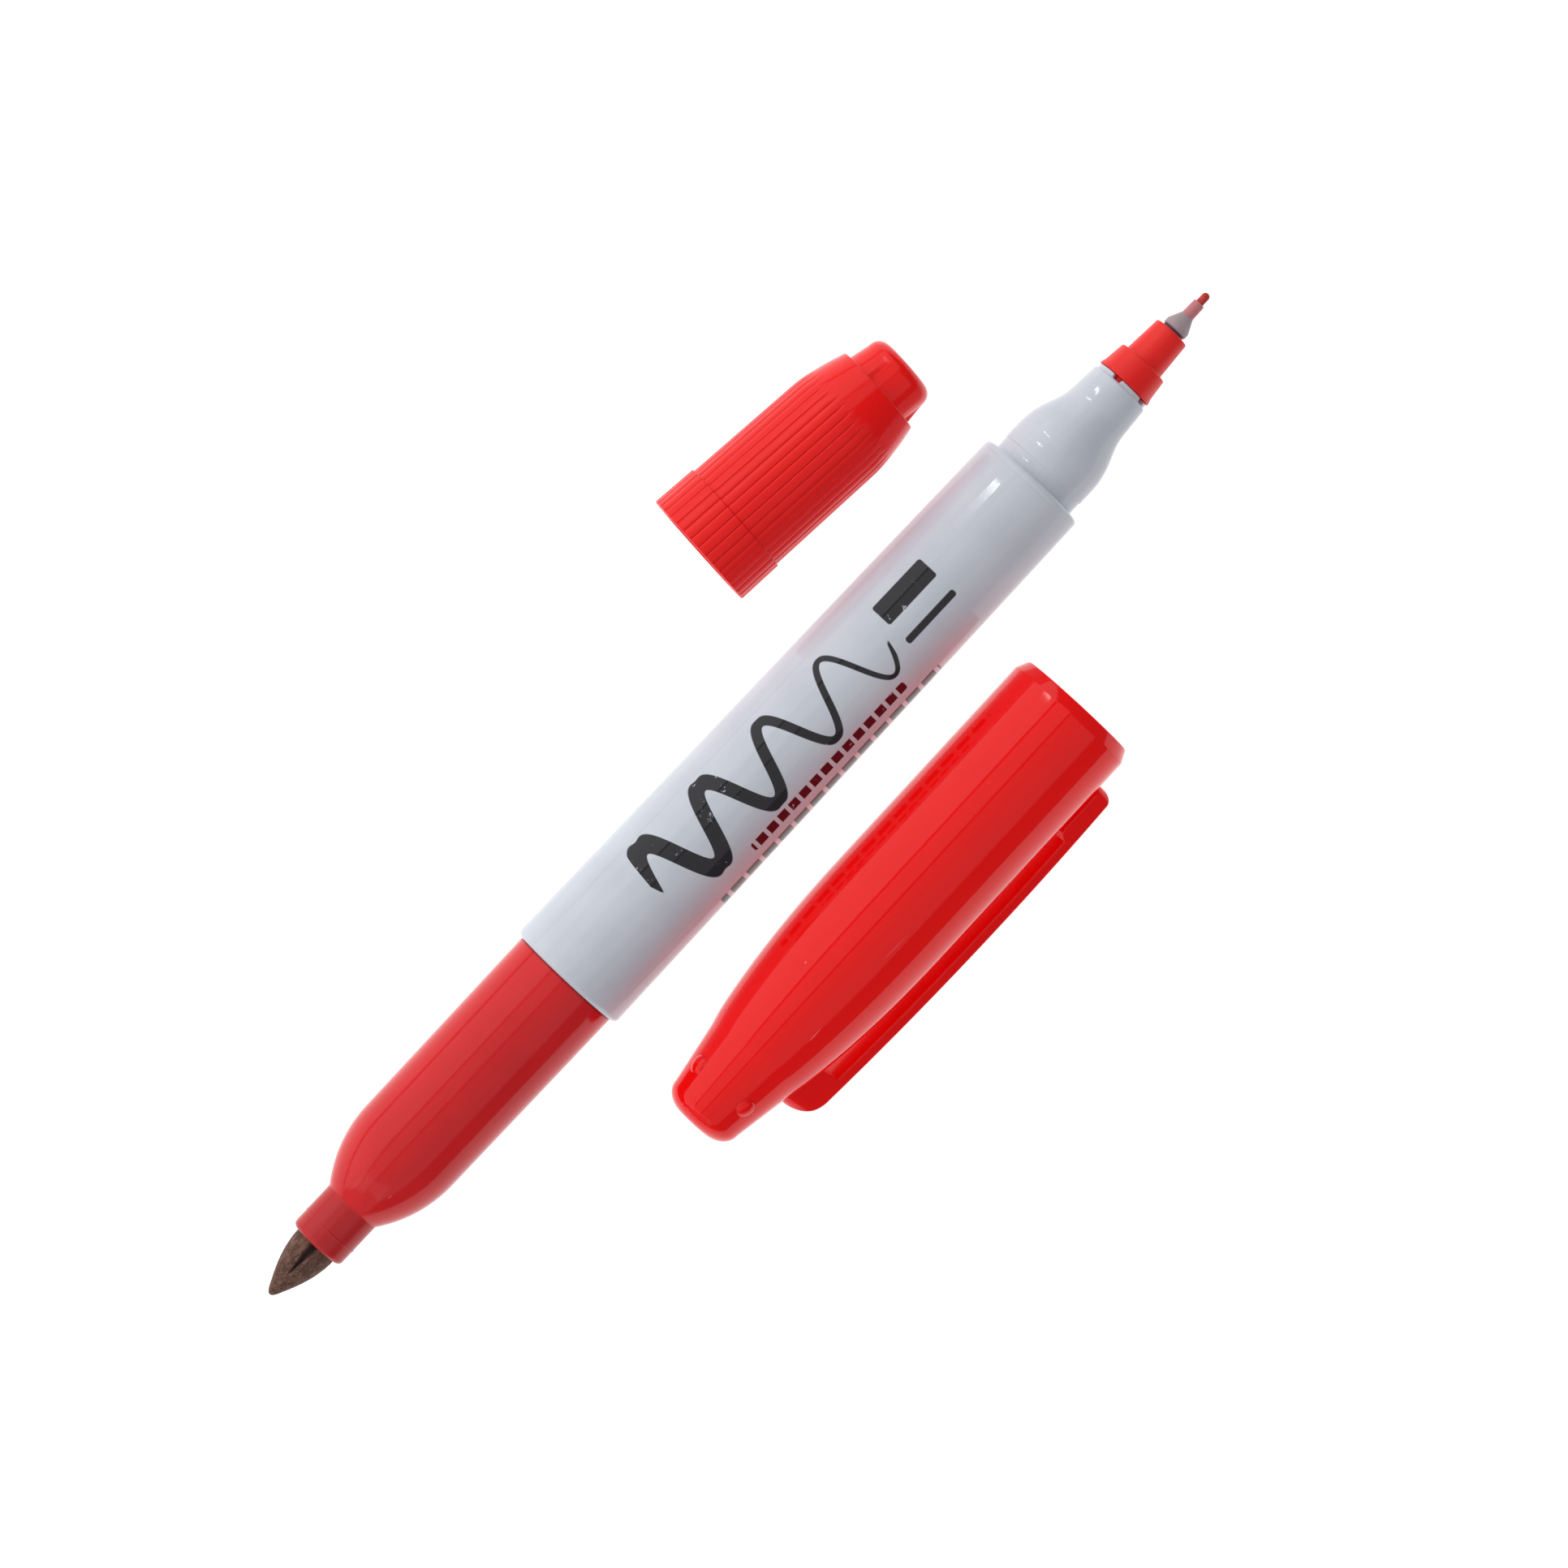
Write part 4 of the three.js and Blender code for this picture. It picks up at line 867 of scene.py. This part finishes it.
class Tree:
    """A material's node tree, with short calls to add nodes and feed their inputs."""

    def __init__(self, name):
        self.material = bpy.data.materials.new(name)
        self.material.use_nodes = True
        self.tree = self.material.node_tree
        self.tree.nodes.clear()

    def add(self, kind, inputs=None, **settings):
        """Adds a node. An input is a number, a colour or vector, or another node's output."""
        node = self.tree.nodes.new("ShaderNode" + kind)
        for key, value in settings.items():
            setattr(node, key, value)
        for key, value in (inputs or {}).items():
            if isinstance(value, bpy.types.NodeSocket):
                self.tree.links.new(value, node.inputs[key])
            else:
                node.inputs[key].default_value = value
        return node

    def math(self, operation, a, b=0.0, c=0.0):
        """One Math node of up to three values."""
        return self.add("Math", {0: a, 1: b, 2: c}, operation=operation).outputs[0]

    def ramp(self, value, low, high, to_low=0.0, to_high=1.0):
        """value mapped from low..high to to_low..to_high, smoothly and clamped."""
        inputs = {"Value": value, 1: low, 2: high, 3: to_low, 4: to_high}
        node = self.add("MapRange", inputs, interpolation_type="SMOOTHSTEP")
        return node.outputs["Result"]

    def mix(self, share, a, b):
        """A colour between a and b."""
        node = self.add("Mix", {"Factor": share, "A": a, "B": b}, data_type="RGBA")
        return node.outputs["Result"]

    def place(self, scale, turn=(0, 0, 0)):
        """Object coordinates, turned and scaled, in metres times scale."""
        where = self.add("TexCoord").outputs["Object"]
        return self.add("Mapping", {"Vector": where, "Rotation": turn, "Scale": scale}).outputs[0]

    def along(self):
        """Millimetres along the piece's axis, from the skin's own map."""
        uv = self.add("SeparateXYZ", {"Vector": self.add("UVMap").outputs[0]})
        return self.math("DIVIDE", uv.outputs["Y"], MAP_PER_MM)

    def noise(self, vector, scale, detail=3.0, rough=0.5):
        """Smooth noise from 0 to 1."""
        inputs = {"Vector": vector, "Scale": scale, "Detail": detail, "Roughness": rough}
        return self.add("TexNoise", inputs).outputs["Fac"]

    def finish(self, **sockets):
        """Adds the shader and the output, and returns the material."""
        shader = self.add("BsdfPrincipled", sockets)
        self.add("OutputMaterial", {"Surface": shader.outputs[0]})
        return self.material


def give(material, *pieces):
    """Puts one material on pieces."""
    for piece in pieces:
        piece.data.materials.clear()
        piece.data.materials.append(material)
    print(material.name, "on", ", ".join(piece.name for piece in pieces))


print("a middle grey is", paint(128, 128, 128)[0])

# %% Plastic
STREAK_SCALE = (28, 520, 520)
CLOUD_SCALE = 160.0
SCRATCH_SCALE = (60, 2600, 900)
DUST_SCALE = 420.0
GRAIN_SCALE = 5200.0
GRAIN_HEIGHT = 0.00003
DUST_COLOUR = (1, 0.93, 0.9, 1)


def plastic(name, colour, deep, gloss, flow, grain, turn=0.0, extra=None, **sockets):
    """Moulded plastic: its colour drifts to deep by the share flow in long streaks, with faint
    scratches and dust. gloss is its roughness or a function of the tree, grain the bump's strength,
    turn the piece's turn on the table, extra a last step for the colour."""
    tree = Tree(name)
    streaks = tree.noise(tree.place(STREAK_SCALE, (0, 0, -turn)), 1.0, 4.0, 0.6)
    even = tree.place((1, 1, 1))
    clouds = tree.noise(even, CLOUD_SCALE, 2.0)
    drift = tree.math("MULTIPLY_ADD", clouds, 0.5, tree.math("MULTIPLY", streaks, 0.5))
    drift = tree.ramp(drift, 0.36, 0.66, 0.0, flow)
    base = tree.mix(drift, paint(*colour), paint(*deep))
    hair = tree.noise(tree.place(SCRATCH_SCALE, (0.4, 0.3, 0.9 - turn)), 1.0, 1.0)
    hair = tree.math("MULTIPLY", tree.ramp(hair, 0.77, 0.8), tree.ramp(clouds, 0.5, 0.62))
    dust = tree.add("TexVoronoi", {"Vector": even, "Scale": DUST_SCALE}).outputs[0]
    dust = tree.math("MULTIPLY", tree.ramp(dust, 0.05, 0.02), tree.ramp(clouds, 0.56, 0.6))
    marks = tree.math("MAXIMUM", tree.math("MULTIPLY", hair, 0.35), tree.math("MULTIPLY", dust, 0.6))
    base = tree.mix(tree.math("MULTIPLY", marks, 0.45), base, DUST_COLOUR)
    if extra is not None:
        base = extra(tree, base)
    skin_grain = tree.noise(even, GRAIN_SCALE, 2.0)
    gloss = gloss(tree) if callable(gloss) else gloss
    rough = tree.math("MULTIPLY", tree.math("MULTIPLY_ADD", streaks, 0.8, 0.6), gloss)
    rough = tree.math("MULTIPLY_ADD", marks, 0.3, rough)
    bump = tree.math("MULTIPLY_ADD", skin_grain, 0.3, tree.math("MULTIPLY", streaks, 1.2))
    inputs = {"Height": bump, "Strength": grain, "Distance": GRAIN_HEIGHT}
    normal = tree.add("Bump", inputs).outputs[0]
    finish = {"Specular IOR Level": 0.32, **sockets}
    return tree.finish(**{"Base Color": base, "Roughness": rough, "Normal": normal, **finish})


film_plastic = plastic("clear_film_plastic", (226, 226, 228), (206, 204, 208), 0.3, 0.6, 0.3)
give(film_plastic, frame["nodes"]["reservoir_film"])


# %% [markdown]
# ## Print on the barrel
# The barrel carries a printed panel. The print here is a plain picture of what the marker does: one
# wavy stroke that starts broad and ends fine, a broad bar and a fine bar, and two rows of dashes.
# The ink is worn, so flecks of the barrel show through it. Positions are in mm along the barrel
# from its middle and over its surface from the top line, both taken from the UV map.


# %% Printed panel
PANEL_R = 6.25
WAVE_START, WAVE_PITCH, WAVE_HEIGHT = -21.2, 8.4, 3.4
WAVE_MIDDLE, WAVE_HALF_LENGTH = -4.4, 17.0
CORNER_R = 0.3


def printed(tree, base):
    """Lays the worn ink over base. A wave's distance is |y - A sin(kx)| / sqrt(1 + (A k cos(kx))^2)."""
    uv = tree.add("SeparateXYZ", {"Vector": tree.add("UVMap").outputs[0]})
    x = tree.along()
    y = tree.math("SUBTRACT", tree.math("FRACT", tree.math("ADD", uv.outputs["X"], 0.5)), 0.5)
    y = tree.math("MULTIPLY", y, 2 * math.pi * PANEL_R)

    def box(x0, x1, y0, y1, soft=0.07):
        """1 inside a plain rectangle with small round corners, 0 outside."""
        dx = tree.math("ABSOLUTE", tree.math("SUBTRACT", x, (x0 + x1) / 2))
        dy = tree.math("ABSOLUTE", tree.math("SUBTRACT", y, (y0 + y1) / 2))
        gap_x = tree.math("MAXIMUM", tree.math("SUBTRACT", dx, (x1 - x0) / 2 - CORNER_R), 0.0)
        gap_y = tree.math("MAXIMUM", tree.math("SUBTRACT", dy, (y1 - y0) / 2 - CORNER_R), 0.0)
        far = tree.math("MULTIPLY_ADD", gap_y, gap_y, tree.math("MULTIPLY", gap_x, gap_x))
        return tree.ramp(tree.math("SQRT", far), CORNER_R + soft, CORNER_R - soft)

    def dashes(row, pitch, share):
        """Breaks a row into dashes."""
        phase = tree.math("FRACT", tree.math("DIVIDE", x, pitch))
        return tree.math("MULTIPLY", row, tree.ramp(phase, share + 0.02, share - 0.02))

    wave_number = 2 * math.pi / WAVE_PITCH
    angle = tree.math("MULTIPLY", tree.math("SUBTRACT", x, WAVE_START), wave_number)
    wave = tree.math("MULTIPLY", tree.math("SINE", angle), WAVE_HEIGHT)
    slope = tree.math("MULTIPLY", tree.math("COSINE", angle), WAVE_HEIGHT * wave_number)
    steep = tree.math("SQRT", tree.math("MULTIPLY_ADD", slope, slope, 1.0))
    off = tree.math("DIVIDE", tree.math("ABSOLUTE", tree.math("SUBTRACT", y, wave)), steep)
    thick = tree.ramp(x, -22.0, 12.5, 1.0, 0.26)
    ends = tree.math("ABSOLUTE", tree.math("SUBTRACT", x, WAVE_MIDDLE))
    ends = tree.ramp(ends, WAVE_HALF_LENGTH, WAVE_HALF_LENGTH - 0.8)
    thick = tree.math("MULTIPLY_ADD", thick, ends, tree.math("MULTIPLY_ADD", ends, 0.2, -0.2))
    stroke = tree.ramp(tree.math("SUBTRACT", off, thick), 0.06, -0.06)
    black = tree.math("MAXIMUM", stroke, box(13.4, 20.2, 0.5, 3.1))
    black = tree.math("MAXIMUM", black, box(13.4, 20.2, -2.3, -1.5))
    low_row = dashes(box(-17.5, 14.0, -8.9, -7.0), 2.3, 0.78)
    black = tree.math("MAXIMUM", black, low_row)
    maroon = dashes(box(-11.6, 10.3, -5.75, -4.55), 1.55, 0.72)
    flecks = tree.noise(tree.place((900, 900, 900)), 1.0, 5.0, 0.7)
    worn = tree.ramp(flecks, 0.64, 0.69, 1.0, 0.25)
    base = tree.mix(tree.math("MULTIPLY", maroon, worn), base, paint(92, 24, 34))
    return tree.mix(tree.math("MULTIPLY", black, worn), base, paint(44, 42, 46))


grey, deep_grey = (213, 217, 226), (201, 206, 216)
give(plastic("barrel_grey_plastic", grey, deep_grey, 0.04, 0.7, 0.03, extra=printed), barrel)

# %% [markdown]
# ## Red plastics
# The front section is a softer red that scatters a little light under its surface. The broad cap
# is bright and very glossy, and the fine cap and the ferrule are satin. In a groove or round a bump
# the colour is darkened as painted shade, and the shade attribute of the skin says where that is.
# The caps and the clip also carry a faint painted red glow.


# %% Red plastics
def painted_relief_shade(deep, share):
    """A finish step that paints shade: it darkens the base towards deep by the skin's shade attribute."""

    def step(tree, base):
        mark = tree.add("Attribute", attribute_name="shade").outputs["Fac"]
        return tree.mix(tree.math("MULTIPLY", mark, share), base, paint(*deep))

    return step


def painted_glow(strength):
    """A faint red glow painted on, standing in for light a thin red wall passes from its far side."""
    return {"Emission Color": (1, 0.004, 0.004, 1), "Emission Strength": strength}


def collar_tone_and_seam_shade(tree, base):
    """The collar is a duller red than the sleeve, and painted shade darkens the sleeve's last
    stretch at the seam.
    """
    collar = tree.ramp(tree.along(), collar_root + 0.3, collar_root - 0.3)
    base = tree.mix(tree.math("MULTIPLY", collar, 0.75), base, paint(184, 36, 38))
    # Painted shade on the sleeve's last stretch next to the barrel.
    seam_shade = tree.ramp(tree.along(), -half - 0.3, -half - 0.1)
    return tree.mix(seam_shade, base, paint(176, 20, 26))


def collar_gloss(tree):
    """Glossy along the sleeve, satin on the collar."""
    return tree.ramp(tree.along(), collar_root, collar_root + 1.5, 0.24, 0.12)


soft_red = {
    "Subsurface Weight": 0.12,
    "Subsurface Radius": (0.0012, 0.0003, 0.0002),
    "Subsurface Scale": 1.0,
}
red, deep_red = (223, 32, 37), (207, 23, 29)
finish = {"flow": 0.45, "grain": 0.12, "extra": collar_tone_and_seam_shade, **soft_red}
give(plastic("section_red_plastic", red, deep_red, collar_gloss, **finish), section)

# %% Red caps
red, deep_red = (242, 12, 12), (235, 9, 10)
# The broad cap carries a faint painted red glow.
finish = {"flow": 0.4, "grain": 0.035, "turn": BROAD_YAW, **painted_glow(0.08)}
# Painted shade darkens a thin ring round each bump.
finish["extra"] = painted_relief_shade((190, 4, 6), 0.6)
give(plastic("broad_cap_red_plastic", red, deep_red, 0.06, **finish), broad_shell)

red, deep_red = (247, 12, 12), (236, 8, 10)
# The clip carries a faint painted red glow.
finish = {"flow": 0.4, "grain": 0.06, "turn": BROAD_YAW, **painted_glow(0.07)}
give(plastic("clip_red_plastic", red, deep_red, 0.12, **finish), clip)


def ribs_gloss(tree):
    """Satin on the ribs, glossier on the plain shoulder and button beyond them."""
    return tree.ramp(tree.along(), groove_end - 1.6, groove_end + 0.6, 0.34, 0.14)


red, deep_red = (245, 17, 16), (236, 11, 11)
# The fine cap carries a faint painted red glow.
finish = {"flow": 0.6, "grain": 0.2, "turn": FINE_YAW, **painted_glow(0.06)}
# Painted shade darkens the grooves.
finish["extra"] = painted_relief_shade((160, 4, 6), 0.45)
give(plastic("fine_cap_red_plastic", red, deep_red, ribs_gloss, **finish), fine_shell)


# %% Ferrule, seals and pipe
def pipe_tint_and_root_shade(tree, base):
    """The pipe's narrow tube is clear enough to show the red nib in it, and painted shade darkens
    its root.
    """
    pink = tree.ramp(tree.along(), pipe_tube - 0.3, pipe_tube + 0.1)
    base = tree.mix(pink, base, paint(202, 124, 128))
    # Painted shade at the pipe's root, next to the ferrule.
    root = tree.ramp(tree.along(), pipe_flange + 0.06, pipe_flange - 0.02)
    return tree.mix(root, base, paint(84, 58, 64))


give(plastic("ferrule_red_plastic", (246, 36, 30), (234, 24, 24), 0.42, 0.6, 0.4), ferrule)
seal_plastic = plastic("seal_red_plastic", (206, 40, 44), (184, 28, 34), 0.5, 0.6, 0.4)
give(seal_plastic, broad_seal, fine_seal)
mauve, deep_mauve = (178, 160, 164), (158, 138, 144)
give(plastic("pipe_mauve_plastic", mauve, deep_mauve, 0.4, 0.8, 0.4, extra=pipe_tint_and_root_shade), pipe)

# %% [markdown]
# ## Felt and fibre
# Felt is a mat of short fibres, so its colour is a speckle stretched a little along the nib, light
# where fibres stand up and dark in the pits. The fine nib is bundled fibre with lines along it, and
# the ink reservoir inside the barrel is the same stuff, paler where the ink is thin.


# %% Felt and fibre
PIT_DEPTH = 0.0001


def fibrous(name, colours, stretch, size, pits, extra=None):
    """Bundled fibre: noise stretched along X picks between three colours, and pits it."""
    tree = Tree(name)
    dark, plain, light = (paint(*colour) for colour in colours)
    strand = tree.noise(tree.place((size / stretch, size, size)), 1.0, 6.0, 0.68)
    speck = tree.noise(tree.place((size * 2.4, size * 3.1, size * 3.1)), 1.0, 3.0, 0.6)
    base = tree.mix(tree.ramp(strand, 0.4, 0.62), dark, plain)
    base = tree.mix(tree.ramp(speck, 0.56, 0.7), base, light)
    if extra is not None:
        base = extra(tree, base)
    height = tree.math("ADD", strand, tree.math("MULTIPLY", speck, 0.6))
    inputs = {"Height": height, "Strength": pits, "Distance": PIT_DEPTH}
    normal = tree.add("Bump", inputs).outputs[0]
    rough = tree.ramp(strand, 0.3, 0.7, 0.98, 0.8)
    sockets = {"Base Color": base, "Roughness": rough, "Normal": normal}
    return tree.finish(**sockets, **{"Sheen Weight": 0.12, "Specular IOR Level": 0.2})


brown_felt = ((88, 60, 51), (119, 86, 74), (158, 126, 106))
# Painted shade darkens the felt's groove.
give(fibrous("brown_felt", brown_felt, 2.2, 2100, 0.8, painted_relief_shade((38, 20, 18), 0.95)), bullet)
red_fibre = ((176, 48, 42), (214, 76, 68), (232, 120, 108))
give(fibrous("red_fibre", red_fibre, 5.0, 4200, 0.4), fine_nib)
pink_fibre = ((150, 30, 40), (190, 58, 64), (222, 128, 128))
give(fibrous("inked_fibre", pink_fibre, 6.0, 1500, 0.5), frame["nodes"]["ink_reservoir"])

# %% [markdown]
# ## Table, light and camera
# The object lies on a white table that glows a little, under long soft lights: a wall of light on
# the side of the fine cap, weaker ones overhead and opposite with thin dark gaps between them, and
# one beyond the bullet end. Two small bright windows leave glints on the barrel and its neck. The
# camera looks straight down from far off, through a long lens.

# %% Table
scene = bpy.context.scene
scene.view_settings.view_transform = "Standard"
TABLE_HALF = 1.6
TABLE_DROP = 0.00002
table_mesh = bpy.data.meshes.new("table")
corners = np.array([[-1, -1, 0], [1, -1, 0], [1, 1, 0], [-1, 1, 0]]) * TABLE_HALF
table_mesh.from_pydata((corners - [0, 0, TABLE_DROP]).tolist(), [], [[0, 1, 2, 3]])
table = bpy.data.objects.new("table", table_mesh)
scene.collection.objects.link(table)
table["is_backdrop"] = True
white = Tree("white_table")
table_mesh.materials.append(
    white.finish(
        **{
            "Base Color": (0.35, 0.35, 0.35, 1),
            "Roughness": 0.9,
            "Specular IOR Level": 0.0,
            "Emission Color": (1, 1, 1, 1),
            "Emission Strength": 0.93,
        }
    )
)
print("table is", 2 * TABLE_HALF, "m wide")

# %% Lights
REACH = 1.3


def lamp(name, place, turn, width, height, radiance):
    """A flat lamp of width by height that shines down its own -Z, turned, at a place in metres."""
    light = bpy.data.lights.new(name, "AREA")
    light.shape = "RECTANGLE"
    light.size, light.size_y = width, height
    light.energy = radiance * math.pi * width * height
    light_object = bpy.data.objects.new(name, light)
    light_object.location = place
    light_object.rotation_euler = turn
    scene.collection.objects.link(light_object)
    print(name, "is", round(width, 3), "by", round(height, 3), "m")


def softbox(name, low, high, radiance, start, stop):
    """A lamp from start to stop along X that fills the sky from low to high degrees, counted from
    +Y over the top to -Y."""
    middle, half_angle = math.radians((low + high) / 2), math.radians((high - low) / 2)
    place = (start + stop) / 2, REACH * math.cos(middle), REACH * math.sin(middle)
    turn = (middle - math.pi / 2, 0, 0)
    lamp(name, place, turn, stop - start, 2 * REACH * math.tan(half_angle), radiance)


def pane(name, place, aim, width, height, radiance):
    """A lamp that faces the point aim."""
    turn = (Vector(place) - Vector(aim)).to_track_quat("Z", "Y").to_euler()
    lamp(name, place, turn, width, height, radiance)


softbox("wall_light", 5, 58, 1.12, -2.2, 1.5)
softbox("top_light", 61.5, 87.5, 0.68, -2.2, 1.5)
softbox("over_light", 91, 112, 0.42, -1.7, 0.42)
softbox("far_light", 112.5, 146, 0.47, -1.7, 0.42)
pane("end_light", (-1.9, -0.1, 0.95), (0, 0, 0), 2.3, 1.5, 0.4)
pane("near_window", (0.132, 0.945, 0.85), (0.132, 0, 0), 0.01, 0.36, 22)
pane("end_window", (0.34, 1.0, 0.78), (0.34, 0, 0), 0.02, 0.44, 16)
world = bpy.data.worlds.new("pale_room")
world.use_nodes = True
world.node_tree.nodes["Background"].inputs["Color"].default_value = (0.95, 0.97, 1, 1)
world.node_tree.nodes["Background"].inputs["Strength"].default_value = 0.2
scene.world = world

# %% Camera
LENS = 150.0
VIEW_WIDTH = 0.1546
VIEW_TURN = math.radians(-46.82)
VIEW_CENTRE = (0.00376, -0.00146)
camera = bpy.data.cameras.new("camera")
camera.lens = LENS
camera_object = bpy.data.objects.new("camera", camera)
height = VIEW_WIDTH * LENS / camera.sensor_width + AXIS_Z * MM
camera_object.location = (*VIEW_CENTRE, height)
camera_object.rotation_euler = (0, 0, VIEW_TURN)
camera.clip_start, camera.clip_end = 0.01, 20
scene.collection.objects.link(camera_object)
scene.camera = camera_object
print("camera", round(height, 3), "m up")

# %% Measure both boxes and finish
bpy.context.view_layer.update()
seen_low, seen_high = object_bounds()
sizes = {
    "cad": [list(cad_low), list(cad_high)],
    "visual": [list(seen_low), list(seen_high)],
}
gap = np.abs(np.array(sizes["cad"]) - np.array(sizes["visual"])).max() / MM
print("largest difference between the boxes in mm:", round(gap, 3))
